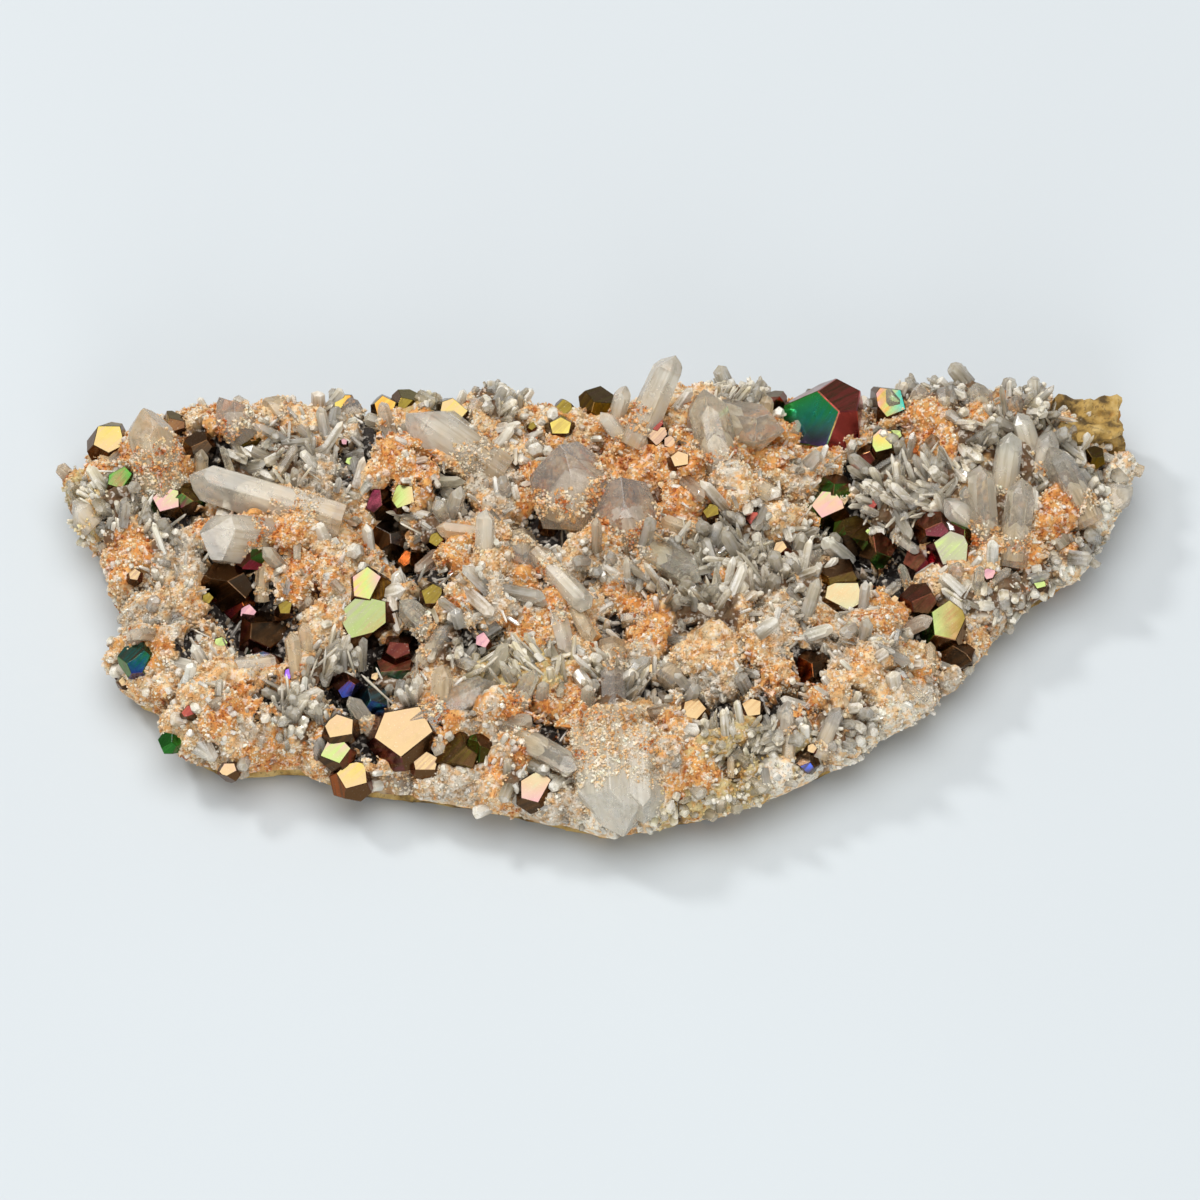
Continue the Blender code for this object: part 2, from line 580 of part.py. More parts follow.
def add_pyrite(edge, home, pockets):
    """Each pyrite node, and the pocket that it needs in the crust."""
    finish = material("pyrite", PYRITE_LOOK)
    for node, crystals in PYRITE.items():
        bodies = []
        for number, (pixel, size, lie) in enumerate(crystals):
            size *= MM
            place = Matrix.Translation(pyrite_place(edge, pixel, size)) @ pyrite_turn(lie)
            for extra in (0.0, GAP):
                shapes = random.Random(f"{node}{number}")
                name = node if not bodies and not extra else f"{node}_{number}_{extra > 0}"
                obj = pyrite_crystal(name, size, shapes, extra)
                obj.matrix_world = place
                if extra:
                    linked(obj, pockets)
                    obj.hide_render = True
                    obj.display_type = "WIRE"
                else:
                    bodies.append(linked(obj, home))
        whole = bodies[0]
        for other in bodies[1:]:
            joined(whole, other, "UNION")
            baked(whole, home)
            bpy.data.objects.remove(other)
        if min((whole.matrix_world @ vertex.co).z for vertex in whole.data.vertices) < CRUST_FLOOR:
            whole.data.transform(whole.matrix_world)
            whole.matrix_world = Matrix.Identity(4)
            flattened(whole, CRUST_FLOOR, home)
        whole.data.materials.clear()
        whole.data.materials.append(finish)


def without_splinters(obj):
    """Drops loose chips that a cut left, keeping the one main body."""
    chips = bmesh.new()
    chips.from_mesh(obj.data)
    left = set(chips.verts)
    while left:
        body, edge = set(), [left.pop()]
        while edge:
            vertex = edge.pop()
            body.add(vertex)
            near = [link.other_vert(vertex) for link in vertex.link_edges]
            edge += [other for other in near if other in left]
            left.difference_update(near)
        if len(body) < LEAST_SPLINTER * len(obj.data.vertices):
            bmesh.ops.delete(chips, geom=list(body), context="VERTS")
    chips.to_mesh(obj.data)
    chips.free()


def main():
    clear_scene()
    specimen = collection("rainbow_pyrite")
    crystals = collection("quartz_crystals")
    pockets = collection("pockets")
    edge = outline()

    rock = make_rock(edge, specimen)
    rock.data.materials.clear()
    rock.data.materials.append(material("matrix_rock", ROCK_LOOK))

    crust = make_crust(edge, specimen)
    add_quartz(edge, crystals)
    joined(crust, crystals, "UNION")
    baked(crust, specimen)
    for helper in list(crystals.objects):
        bpy.data.objects.remove(helper)
    thinned(crust, GROWN_TRIANGLES, specimen)

    add_pyrite(edge, specimen, pockets)
    linked(rock_corner(2 * GAP), pockets)
    joined(crust, pockets, "DIFFERENCE")
    baked(crust, specimen)
    for helper in list(pockets.objects):
        bpy.data.objects.remove(helper)
    thinned(crust, FINISHED_TRIANGLES, specimen)
    without_splinters(crust)
    crust.data.materials.clear()
    crust.data.materials.append(material("quartz_crust", QUARTZ_LOOK))


main()
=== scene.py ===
import itertools
import math
import random

import bmesh
import bpy
import numpy as np
from mathutils import Matrix, Vector


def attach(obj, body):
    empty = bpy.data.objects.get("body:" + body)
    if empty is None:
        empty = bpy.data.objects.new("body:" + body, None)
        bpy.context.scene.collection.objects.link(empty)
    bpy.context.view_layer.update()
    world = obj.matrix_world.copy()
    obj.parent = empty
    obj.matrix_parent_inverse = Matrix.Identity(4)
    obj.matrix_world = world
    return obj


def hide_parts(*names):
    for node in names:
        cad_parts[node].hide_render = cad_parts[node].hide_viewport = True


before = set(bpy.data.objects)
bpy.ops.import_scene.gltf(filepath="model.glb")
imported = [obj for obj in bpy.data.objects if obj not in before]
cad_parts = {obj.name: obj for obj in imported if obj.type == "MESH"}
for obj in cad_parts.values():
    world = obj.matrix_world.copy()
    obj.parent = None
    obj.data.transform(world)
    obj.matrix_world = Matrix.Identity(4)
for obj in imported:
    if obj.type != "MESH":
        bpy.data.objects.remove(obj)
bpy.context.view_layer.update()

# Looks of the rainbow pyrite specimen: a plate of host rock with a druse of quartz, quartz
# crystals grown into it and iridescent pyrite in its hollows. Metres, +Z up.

MM = 0.001

# The photograph (1200 x 1200) and where it was taken from, as in the solids
PIXEL = 0.18 * MM
VIEW_ELEVATION = math.radians(58.0)
VIEW_DISTANCE = 2.4
VIEW_CENTRE = Vector((0.0, 0.0, 10.0 * MM))
PHOTO_MIDDLE = 600.0
SENSOR = 36.0  # millimetres, as Blender gives it

# The plate, as in the solids
ROCK_TOP = 5.0 * MM
GAP = 0.3 * MM
CRUST_FLOOR = ROCK_TOP + GAP
CRUST_TOP = 14.5 * MM
RIM_TOP = 9.5 * MM
RIM_WIDTH = 9.0 * MM
FAR_RIM_HEIGHT = 12.0 * MM
NEAR_RIM_HEIGHT = 6.0 * MM
SIGHT_STEPS = 24
FAR_EDGE = (
    (68, 474), (88, 448), (104, 432), (138, 420), (165, 412), (200, 398), (240, 402), (290, 400),
    (340, 399), (390, 400), (440, 394), (490, 389), (530, 398), (570, 406), (610, 402), (660, 386),
    (710, 379), (760, 387), (820, 398), (880, 394), (940, 384), (1000, 384), (1050, 390),
    (1084, 394), (1104, 414), (1116, 446),
)
NEAR_EDGE = (
    (1136, 470), (1120, 508), (1098, 546), (1074, 581), (1037, 597), (1005, 627), (980, 657),
    (956, 687), (928, 711), (890, 734), (852, 761), (800, 784), (762, 801), (716, 815),
    (662, 828), (615, 838), (575, 827), (530, 818), (480, 808), (430, 798), (355, 792), (322, 781),
    (296, 768), (240, 772), (200, 768), (172, 747), (156, 712), (118, 688), (106, 670), (126, 641),
    (116, 606), (106, 572), (86, 542), (66, 508),
)
KNOBS = (
    ((158, 478), 6, 5), ((235, 425), 6, 3), ((270, 530), 9, 4), ((120, 570), 8, 3),
    ((330, 590), 7, 4), ((215, 715), 9, 5), ((150, 675), 6, 3), ((165, 625), 7, 3),
    ((410, 465), 8, 5), ((470, 600), 11, 6), ((575, 490), 7, 5), ((600, 545), 9, 4),
    ((640, 430), 6, 4), ((705, 460), 9, 5), ((740, 500), 8, 4), ((760, 650), 12, 5),
    ((700, 640), 8, 3), ((870, 675), 10, 4), ((880, 620), 7, 3), ((640, 755), 10, 3),
    ((540, 700), 8, 4), ((470, 715), 8, 4), ((1065, 510), 8, 4), ((1000, 440), 10, 3),
    ((930, 410), 8, 3), ((700, 745), 8, 3), ((310, 720), 6, 3),
    ((235, 600), 7, -5), ((262, 635), 6, -4), ((370, 520), 7, -4), ((400, 560), 6, -4),
    ((395, 655), 7, -5), ((360, 690), 6, -3), ((445, 500), 5, -4), ((545, 530), 5, -4),
    ((620, 605), 6, -4), ((660, 680), 7, -4), ((720, 705), 7, -4), ((812, 668), 5, -5),
    ((840, 540), 9, -5), ((910, 560), 8, -4), ((880, 470), 7, -3), ((840, 600), 6, -3),
    ((455, 745), 6, -3), ((385, 745), 6, -2), ((500, 650), 6, -3), ((930, 640), 5, -3),
)

# The larger quartz crystals by finish: pixel of the root, pixel of the tip, thickness and rise of
# the tip over the crust at the root, both in mm, and, where it isn't COAT_REACH, how far up its
# length the crystal is coated with grains
QUARTZ = {
    "milky": (
        ((306, 512), (186, 476), 7.0, 2.5, 0.22), ((246, 540), (198, 534), 8.5, 6.0),
        ((478, 462), (403, 410), 8.0, 5.0, 0.30), ((486, 456), (430, 410), 5.0, 3.0),
        ((484, 558), (486, 507), 3.0, 5.5), ((550, 568), (591, 611), 4.2, 2.0),
        ((558, 616), (569, 659), 3.0, 1.2), ((258, 668), (208, 673), 4.0, 1.6),
        ((644, 424), (676, 352), 5.8, 8.0), ((616, 420), (626, 384), 3.0, 5.0),
        ((620, 438), (600, 410), 3.0, 3.0), ((1003, 488), (1012, 430), 4.6, 7.0),
        ((974, 524), (944, 497), 4.4, 3.0), ((1030, 452), (1018, 410), 4.0, 4.5),
        ((1040, 470), (1052, 428), 4.0, 4.5), ((823, 745), (841, 703), 2.8, 4.0),
        ((786, 730), (788, 698), 3.4, 3.4),
        ((1112, 500), (1134, 486), 4.4, 1.5), ((90, 520), (70, 500), 5.0, 1.5),
        ((437, 742), (419, 702), 2.8, 3.0), ((1132, 468), (1098, 455), 1.8, 2.0),
        ((934, 520), (958, 534), 2.0, 1.2), ((900, 539), (920, 553), 2.0, 1.2),
    ),
    "massive": (
        ((614, 742), (621, 842), 12.0, -7.0, 0.5), ((640, 752), (644, 829), 8.0, -6.0, 0.55),
        ((594, 752), (600, 822), 7.6, -5.0, 0.6),
    ),
    "clear": (
        ((134, 506), (141, 484), 3.0, 3.0), ((522, 548), (528, 580), 5.0, 2.0),
        ((430, 632), (399, 598), 4.2, 3.5, 0.5), ((428, 656), (456, 620), 4.6, 3.0),
        ((432, 714), (500, 680), 5.4, 3.0, 0.34), ((520, 702), (536, 667), 3.2, 3.4),
        ((522, 738), (580, 770), 4.6, 2.2), ((368, 724), (348, 695), 3.0, 2.4),
        ((718, 452), (702, 386), 6.4, 8.0), ((716, 424), (788, 432), 7.6, 2.5),
        ((806, 572), (821, 547), 2.4, 2.6), ((644, 546), (702, 582), 5.0, 2.0),
        ((683, 664), (744, 596), 4.0, 2.2), ((640, 618), (700, 610), 2.6, 1.8),
        ((986, 538), (980, 462), 5.4, 9.0), ((1014, 544), (1024, 476), 5.0, 8.0),
        ((1080, 506), (1050, 444), 5.4, 6.0), ((973, 522), (965, 484), 2.8, 4.5),
        ((955, 582), (958, 560), 2.8, 3.0), ((892, 408), (888, 386), 3.4, 3.0),
        ((918, 402), (922, 382), 3.0, 3.0), ((944, 404), (946, 384), 3.8, 3.0),
        ((980, 404), (978, 381), 4.6, 3.0), ((1012, 412), (1018, 394), 3.6, 2.4),
        ((474, 414), (484, 395), 4.4, 2.6), ((870, 472), (898, 455), 2.0, 1.8),
        ((978, 596), (980, 564), 2.0, 3.0), ((232, 475), (222, 445), 1.6, 2.6),
        ((278, 475), (297, 443), 1.5, 2.6), ((909, 462), (909, 445), 1.6, 2.4),
        ((909, 588), (900, 563), 1.7, 2.4), ((990, 585), (1012, 568), 1.8, 1.6),
        ((884, 596), (902, 581), 1.8, 1.6), ((1016, 586), (1016, 570), 1.8, 1.6),
        ((901, 682), (928, 701), 1.8, 1.2), ((713, 560), (732, 545), 1.8, 1.4),
    ),
    "smoky": (
        ((240, 428), (217, 394), 6.5, 3.5, 0.45), ((574, 492), (556, 440), 13.0, 9.0, 0.42),
        ((627, 526), (624, 474), 11.0, 9.0, 0.36), ((612, 664), (614, 724), 4.6, 1.2),
        ((352, 414), (350, 394), 4.2, 2.6),
    ),
    "honey": (
        ((158, 478), (143, 405), 8.0, 10.0, 0.62), ((280, 414), (262, 399), 6.0, 3.0, 0.45),
        ((200, 474), (202, 448), 2.7, 3.5), ((480, 534), (434, 528), 2.8, 1.5),
        ((432, 514), (422, 490), 2.6, 3.0), ((574, 606), (592, 642), 2.6, 1.6),
        ((440, 704), (443, 662), 3.6, 5.0), ((308, 656), (303, 620), 2.6, 4.0),
        ((297, 674), (291, 630), 2.6, 4.5), ((688, 530), (656, 518), 2.6, 1.4),
        ((759, 488), (720, 468), 3.0, 1.6), ((262, 592), (263, 562), 2.2, 3.4),
        ((765, 420), (768, 394), 2.4, 3.4), ((788, 757), (790, 730), 2.2, 3.0),
        ((365, 548), (322, 513), 2.2, 2.0), ((847, 712), (841, 690), 1.8, 2.0),
        ((930, 665), (930, 640), 2.0, 2.4), ((726, 795), (726, 776), 1.4, 1.4),
        ((731, 772), (731, 755), 1.4, 2.0),
    ),
}

# Film colours of the pyrite (linear); the darkest, such as black and garnet, are mostly painted shade
# on faces turned away from the viewer
FILM = {
    "gold": (0.335, 0.240, 0.125), "yellow": (0.34, 0.27, 0.065), "peach": (0.33, 0.225, 0.135),
    "pale": (0.29, 0.275, 0.165), "lime": (0.25, 0.31, 0.105), "pink": (0.34, 0.19, 0.19),
    "orange": (0.38, 0.17, 0.03), "copper": (0.25, 0.145, 0.065), "sky": (0.14, 0.34, 0.42),
    "ash": (0.20, 0.185, 0.14), "olive": (0.15, 0.11, 0.02), "amber": (0.32, 0.17, 0.012),
    "brown": (0.13, 0.065, 0.028), "grey": (0.15, 0.12, 0.09), "black": (0.035, 0.028, 0.02),
    "maroon": (0.22, 0.05, 0.035), "plum": (0.16, 0.04, 0.05), "magenta": (0.34, 0.05, 0.10),
    "ember": (0.42, 0.10, 0.02), "green": (0.05, 0.26, 0.04), "teal": (0.02, 0.26, 0.22),
    "blue": (0.04, 0.08, 0.38), "violet": (0.20, 0.09, 0.40), "leaf": (0.06, 0.52, 0.10),
    "lagoon": (0.03, 0.44, 0.44), "moss": (0.19, 0.23, 0.085), "wine": (0.48, 0.08, 0.07),
    "garnet": (0.075, 0.020, 0.014), "rose": (0.85, 0.14, 0.22), "flame": (0.90, 0.34, 0.05),
    "lemon": (0.80, 0.66, 0.12),
}

# Pyrite crystals by node: pixel of the middle, size in mm, how the nearest face lies (degrees
# right of and above the viewer, then its spin), and the films of the faces that look to the
# viewer, up, left, right and down. A film is one colour, or several from top to bottom, or from
# left to right after "h:".
# The films of the faces that look up, left, right and down are darker than the first: painted shade
# over the tarnish's own colours
PYRITE = {
    "pyrite_far_left": (
        ((108, 444), 7.6, (4, 21, 182), "yellow>gold|amber>olive|brown|brown|brown"),
    ),
    "pyrite_sepia_far": (((173, 425), 4.8, (30, 60, 0), "brown|olive|amber|brown|black"),),
    "pyrite_brown_left": (
        ((199, 447), 5.2, (-25, 50, 20), "brown>black|brown|amber>brown|black|black"),
    ),
    "pyrite_olive_left": (
        ((247, 436), 4.4, (20, 45, 40), "amber>olive|amber|lime>olive|olive|black"),
    ),
    "pyrite_striped_left": (
        ((122, 482), 5.2, (-13, 21, 50), "h:green>moss>copper>green|green|green|green|black"),
    ),
    "pyrite_rose_left": (
        ((166, 505), 6.0, (0, 15, 15), "lime>pink|brown|green|olive|black"),
        ((186, 500), 5.6, (40, 40, 60), "green>plum|olive|plum|green|black"),
    ),
    "pyrite_gold_far_a": (
        ((343, 406), 4.6, (0, 18, 30), "h:yellow>yellow>orange|olive|olive|orange|olive"),
    ),
    "pyrite_olive_far": (
        ((405, 404), 5.2, (30, 60, 0), "olive|olive|brown|olive|black"),
        ((385, 409), 4.6, (0, 18, 75), "yellow>orange|olive|olive|olive|black"),
    ),
    "pyrite_gold_far_b": (((452, 416), 7.0, (0, 18, 50), "yellow>gold|olive|olive|black|black"),),
    "pyrite_dome_far": (((598, 408), 7.4, (25, 55, 15), "olive>amber|olive|amber|olive|black"),),
    "pyrite_gold_far_c": (((560, 430), 5.4, (0, 18, 0), "yellow|olive|olive|olive|black"),),
    "pyrite_grey_face": (
        ((390, 538), 7.2, (10, 60, 35), "grey|grey|brown|brown|black"),
        ((410, 562), 5.0, (50, 10, 0), "ember|brown|brown|orange|black"),
        ((402, 499), 5.2, (0, 18, 20), "h:olive>lime>gold|olive|plum|plum|black"),
        ((380, 505), 5.6, (50, 20, 10), "magenta>plum|plum|plum|black|black"),
    ),
    "pyrite_striped_stack": (
        ((366, 624), 9.6, (-6, 22, 12), "ash>moss>ash>moss>copper>moss|brown|brown|maroon|brown"),
        ((366, 592), 7.6, (0, 18, 65), "h:pink>yellow>lime>pink|brown|brown|amber|brown"),
        ((398, 652), 7.0, (20, 70, 0), "garnet|maroon|maroon|maroon|plum"),
        ((396, 672), 7.4, (0, 35, 5), "green>pink>teal>orange>teal|maroon|teal|ember|blue"),
    ),
    "pyrite_deep_blue": (
        ((346, 686), 5.6, (-40, 30, 20), "plum>blue|maroon|plum|blue|black"),
        ((374, 702), 6.4, (30, 40, 0), "teal>blue|sky|teal|blue|black"),
    ),
    "pyrite_gold_pentagon": (
        ((405, 737), 11.8, (0, 18, 40), "gold>peach>gold>gold|brown|maroon|brown|plum"),
        ((425, 765), 5.2, (0, 18, 0), "gold|brown|maroon|brown|brown"),
        ((460, 758), 8.4, (-35, 30, 25), "olive>brown|olive|olive|brown|olive"),
        ((481, 750), 5.8, (40, 40, 0), "olive|brown|green|olive|black"),
    ),
    "pyrite_yellow_low": (
        ((350, 780), 7.2, (6, 20, 20), "yellow>gold|ember|ember|maroon|brown"),
        ((336, 754), 6.0, (0, 18, 55), "pink>lime|maroon|plum|maroon|black"),
        ((340, 729), 6.0, (0, 18, 10), "peach>gold|brown|brown|brown|black"),
    ),
    "pyrite_green_pentagon": (
        ((537, 790), 7.4, (0, 18, 62), "pale>peach>pale>pink|black|black|brown|black"),
    ),
    "pyrite_brown_pentagon": (
        ((225, 584), 9.0, (-4, 50, 36), "grey>brown|brown|brown|black|black"),
        ((254, 561), 5.8, (35, 20, 0), "plum>magenta|plum|plum|green|black"),
        ((240, 606), 5.6, (-35, 0, 20), "ember>magenta|ember|green|ember|maroon"),
        ((262, 634), 9.6, (12, 64, 20), "black>brown|brown|plum|green>ember|plum"),
        ((264, 662), 5.6, (0, 0, 45), "h:green>sky>violet>orange|plum|teal|ember|black"),
    ),
    "pyrite_teal_edge": (((138, 660), 6.2, (-38, 40, 20), "green>teal>blue|teal|green|green|blue"),),
    "pyrite_green_edge": (((172, 742), 4.0, (-40, 20, 0), "green|teal|green|green|black"),),
    "pyrite_pink_edge": (((229, 772), 4.0, (0, 18, 30), "pink>gold|maroon|maroon|gold|brown"),),
    "pyrite_rainbow_great": (
        (
            (826, 425), 14.0, (-33, 4, 331),
            "leaf>leaf>lagoon>violet|wine|leaf|wine>wine>plum|h:lagoon>leaf>lemon>flame>rose",
        ),
        ((866, 459), 5.6, (-40, 50, 0), "maroon|brown|maroon|brown|black"),
        ((882, 444), 5.6, (0, 18, 15), "pink>yellow>lime|green|plum|lime|black"),
    ),
    "pyrite_maroon_far": (((775, 404), 4.8, (-20, 70, 0), "black>garnet|olive|plum|maroon|black"),),
    "pyrite_rainbow_small": (
        ((886, 408), 7.0, (11, 20, 30), "h:pink>orange>lime>teal|olive|brown|olive|black"),
    ),
    "pyrite_pink_flash": (
        ((828, 510), 6.8, (0, 18, 25), "lime>pink>peach>pink|maroon|green|ember|black"),
        ((834, 490), 6.0, (30, 60, 30), "maroon>green|brown|green|maroon|black"),
        ((852, 536), 7.4, (30, 30, 10), "green>brown|olive|green|maroon|black"),
        ((878, 553), 6.8, (30, 30, 0), "maroon>green|maroon|brown|green|black"),
    ),
    "pyrite_lime_face": (
        ((953, 554), 8.2, (0, 20, 8), "ash>ash>lime>ash|maroon|magenta|ember|plum"),
        ((934, 530), 6.6, (-30, 50, 15), "garnet>plum|maroon|ember|plum|black"),
        ((960, 534), 6.0, (30, 60, 40), "maroon|green|maroon|olive|black"),
        ((920, 562), 5.2, (-30, 20, 30), "magenta>plum|plum|maroon|magenta|black"),
    ),
    "pyrite_brown_great": (
        ((843, 600), 7.6, (2, 19, 182), "pale>gold>pale|brown|amber|brown|brown"),
        ((838, 581), 8.0, (-12, 58, 20), "brown>olive|brown|amber|brown|maroon"),
    ),
    "pyrite_olive_blade": (
        ((947, 626), 8.6, (10, 18, 70), "h:moss>lime>copper>olive|olive|green|copper|brown"),
        ((919, 605), 7.6, (-20, 55, 25), "maroon>brown|maroon|plum|brown|black"),
        ((956, 655), 6.0, (40, 50, 0), "black>brown|black|olive|brown|black"),
    ),
    "pyrite_cave_right": (((812, 668), 7.0, (0, 60, 30), "brown>black|brown|ember|brown|black"),),
    "pyrite_copper_a": (((693, 714), 5.4, (0, 22, 50), "copper>gold|brown|maroon|copper|black"),),
    "pyrite_copper_b": (((753, 712), 4.8, (0, 22, 10), "copper>gold|brown|copper|brown|black"),),
    "pyrite_peach_pair": (
        ((658, 438), 4.0, (0, 18, 30), "peach|brown"), ((669, 444), 3.0, (0, 18, 60), "peach|brown"),
    ),
    "pyrite_peach_far": (((681, 462), 4.4, (0, 18, 10), "peach>gold|brown"),),
    "pyrite_gold_middle": (((550, 522), 4.8, (0, 18, 25), "gold|ember|brown|brown|brown"),),
    "pyrite_blue_black": (((806, 762), 4.4, (-20, 30, 10), "blue>black|grey|blue|black|black"),),
    "pyrite_olive_right": (((1093, 458), 4.6, (20, 40, 20), "olive>amber|olive|olive|yellow|black"),),
}

# Pyrite grains by the film of their bright face: pixel and size in pixels
PYRITE_GRAINS = {
    "gold": (
        (134, 577, 16), (375, 678, 12), (650, 670, 14), (663, 593, 14), (927, 476, 14),
        (894, 600, 9), (950, 491, 10), (781, 550, 20), (661, 486, 10), (123, 683, 13),
        (1094, 452, 8), (811, 750, 12),
    ),
    "pink": (
        (344, 443, 9), (249, 613, 18), (478, 437, 8), (988, 576, 16), (931, 631, 14),
        (483, 642, 18),
    ),
    "lime": ((351, 463, 12), (221, 644, 18), (868, 534, 12), (1038, 584, 16), (895, 437, 16)),
    "olive": (
        (435, 541, 18), (432, 597, 24), (445, 407, 15), (812, 394, 12), (532, 428, 12),
        (565, 410, 20), (711, 514, 20), (207, 600, 16), (284, 610, 18),
    ),
    "maroon": ((655, 423, 22), (752, 521, 18), (873, 505, 18), (190, 713, 18)),
    "violet": ((289, 675, 13),),
}

# What the druse is made of round each pixel. A third number is the patch's radius in pixels.
PATCHES = {
    "orange": (
        (150, 460), (175, 455), (130, 555), (230, 520), (270, 540), (305, 565), (300, 590),
        (410, 455, 26), (540, 490), (595, 480, 14), (455, 555), (530, 580), (550, 585, 14),
        (620, 445), (650, 465), (610, 530), (690, 445), (715, 465), (740, 445), (775, 450),
        (800, 448), (675, 505), (700, 495), (735, 575, 14), (915, 420), (930, 440), (975, 415, 14),
        (995, 410, 14), (1050, 500), (1060, 515), (1055, 530), (1025, 560, 14), (875, 610, 14),
        (900, 625, 14), (152, 640, 14), (215, 710), (255, 755), (160, 690, 14), (310, 740, 14),
        (470, 600, 14), (520, 630), (540, 590), (450, 715, 16), (520, 710), (550, 700, 16),
        (515, 755), (590, 700, 16), (655, 740, 16), (680, 745, 16), (680, 785, 12), (700, 780, 12),
        (583, 745, 12), (640, 600), (650, 630, 16), (745, 650, 16), (770, 680, 16), (855, 660),
        (915, 670, 14), (930, 675, 14), (815, 708, 12), (225, 415, 16), (92, 470, 12),
        (628, 415, 12), (362, 540, 14), (345, 530, 12), (205, 730, 14), (240, 700, 12),
    ),
    "cream": (
        (120, 605), (200, 705, 26), (145, 680), (115, 675), (330, 535), (360, 550, 14),
        (375, 505, 12), (385, 635, 14), (470, 570), (580, 520), (590, 540), (480, 730),
        (600, 740), (785, 520), (730, 640, 40), (850, 680), (880, 660), (870, 690), (400, 775),
        (195, 665, 16), (310, 410, 16), (262, 405, 16), (160, 590), (300, 630, 14), (640, 720),
        (690, 520), (770, 480, 14), (225, 745), (340, 610, 14), (630, 500, 14), (905, 655),
    ),
    "sugar": (
        (180, 560), (485, 470, 16), (510, 490, 16), (480, 600), (500, 590), (500, 640, 16),
        (470, 715), (240, 740), (720, 470, 16), (800, 460, 16), (710, 680), (770, 625),
        (455, 785), (575, 810), (660, 770), (880, 635), (600, 570), (500, 735), (318, 480, 18),
        (343, 430, 14), (150, 620), (290, 570, 14), (520, 600), (640, 660, 14), (940, 690),
        (1010, 610), (800, 600, 14), (840, 650), (540, 810), (395, 795, 14),
    ),
    "clear": (
        (240, 480), (290, 460), (115, 495), (435, 520, 16), (440, 640), (690, 560), (680, 585),
        (760, 575), (812, 555, 16), (900, 470), (880, 500, 16), (1020, 440), (1100, 490),
        (970, 430), (1000, 600), (950, 650, 16), (855, 720), (700, 610), (330, 660, 16),
        (300, 720, 16), (620, 695, 18), (900, 395, 18), (960, 392, 18), (1020, 400, 18),
        (300, 400, 16), (740, 392, 18), (345, 395, 14), (500, 400, 16), (640, 590, 14),
        (1050, 470, 26), (1000, 500, 20), (1090, 550, 20), (920, 500), (945, 470),
        (1040, 600, 20), (770, 740), (550, 770, 18), (520, 780, 14), (740, 540), (960, 600, 16),
        (110, 525, 14), (150, 540, 14), (720, 610), (400, 690, 14),
    ),
    # The cavity patches are hollows: sunk, and coloured dark as painted shade
    "shaded_cavity": (
        (215, 450, 14), (200, 440, 12), (180, 505, 16), (225, 555, 14), (260, 640, 22),
        (190, 645, 12), (270, 700, 12), (365, 430, 14), (350, 460, 14), (385, 500, 14),
        (410, 560, 16), (450, 490, 14), (560, 525, 16), (665, 435, 12), (705, 510, 10),
        (780, 550, 14), (850, 530, 24), (665, 680, 16), (715, 715, 16), (775, 705, 16),
        (812, 665, 14), (900, 540, 16), (545, 740, 14), (680, 630, 10), (390, 650, 24),
        (360, 700, 22), (420, 740, 16), (345, 745, 16), (895, 580, 18), (850, 580, 14),
        (930, 620, 14), (860, 470, 16), (240, 600, 22), (455, 430, 12), (430, 580, 14),
        (470, 650, 14), (620, 620, 12), (520, 535, 10), (545, 760, 14), (640, 690, 14),
    ),
    "yellow": (
        (715, 750), (740, 790, 20), (760, 745), (490, 665, 14), (520, 660, 14), (545, 665, 14),
        (80, 500, 18), (85, 522, 20), (700, 800, 16), (790, 750, 14), (420, 400, 14), (675, 815, 14),
    ),
    "pale": (
        (625, 800, 26), (820, 780), (870, 745), (1070, 580), (1090, 520), (600, 825, 16),
        (650, 825, 16), (900, 715, 16), (1120, 480, 18), (600, 780, 16), (780, 785, 16),
    ),
}
PATCH_RADIUS = 20.0  # pixels

# Grain colours (sRGB) of each kind of druse, then the colour of the ground between its grains
TINTS = {
    "orange": ((196, 118, 54), (238, 182, 116), (252, 228, 190), (252, 244, 230)),
    "cream": ((212, 168, 114), (244, 216, 172), (252, 240, 218), (252, 247, 238)),
    "sugar": ((176, 160, 136), (236, 226, 208), (252, 247, 240), (250, 228, 190)),
    "clear": ((200, 176, 132), (230, 214, 180), (246, 238, 220), (246, 226, 182)),
    # The cavity kind's dark tints are painted shade in the hollows
    "shaded_cavity": ((70, 46, 22), (110, 80, 46), (160, 132, 94), (204, 180, 142)),
    "yellow": ((228, 202, 134), (242, 222, 164), (248, 235, 194), (245, 225, 172)),
    "pale": ((250, 240, 216), (253, 247, 232), (255, 252, 244), (253, 245, 226)),
}
# The dark ground of the clear and cavity kinds is painted shade, between the clear prisms and in the
# hollows
GROUND_TINTS = {
    "orange": (236, 176, 100), "cream": (245, 214, 166), "sugar": (220, 208, 188),
    "clear": (118, 92, 62), "shaded_cavity": (32, 21, 11), "yellow": (222, 200, 142),
    "pale": (252, 244, 226),
}
# Painted shade: the colour that the ground darkens toward in the creases between knobs
CREASE_SHADE_TINT = (70, 44, 20)  # of the creases between knobs

# Where no patch is near, how likely each kind is
BASE_SCORES = {
    "orange": 0.09, "cream": 0.11, "sugar": 0.07, "clear": 0.06, "shaded_cavity": 0.05, "yellow": 0.02,
    "pale": 0.02,
}

# Grains and small prisms for each square millimetre of each kind of druse
GRAINS_EACH = {
    "orange": 3.1, "cream": 2.8, "sugar": 3.0, "clear": 0.3, "shaded_cavity": 0.2, "yellow": 0.9,
    "pale": 1.4,
}
PRISMS_EACH = {
    "orange": 0.05, "cream": 0.10, "sugar": 0.14, "clear": 0.46, "shaded_cavity": 0.08, "yellow": 0.45,
    "pale": 0.22,
}
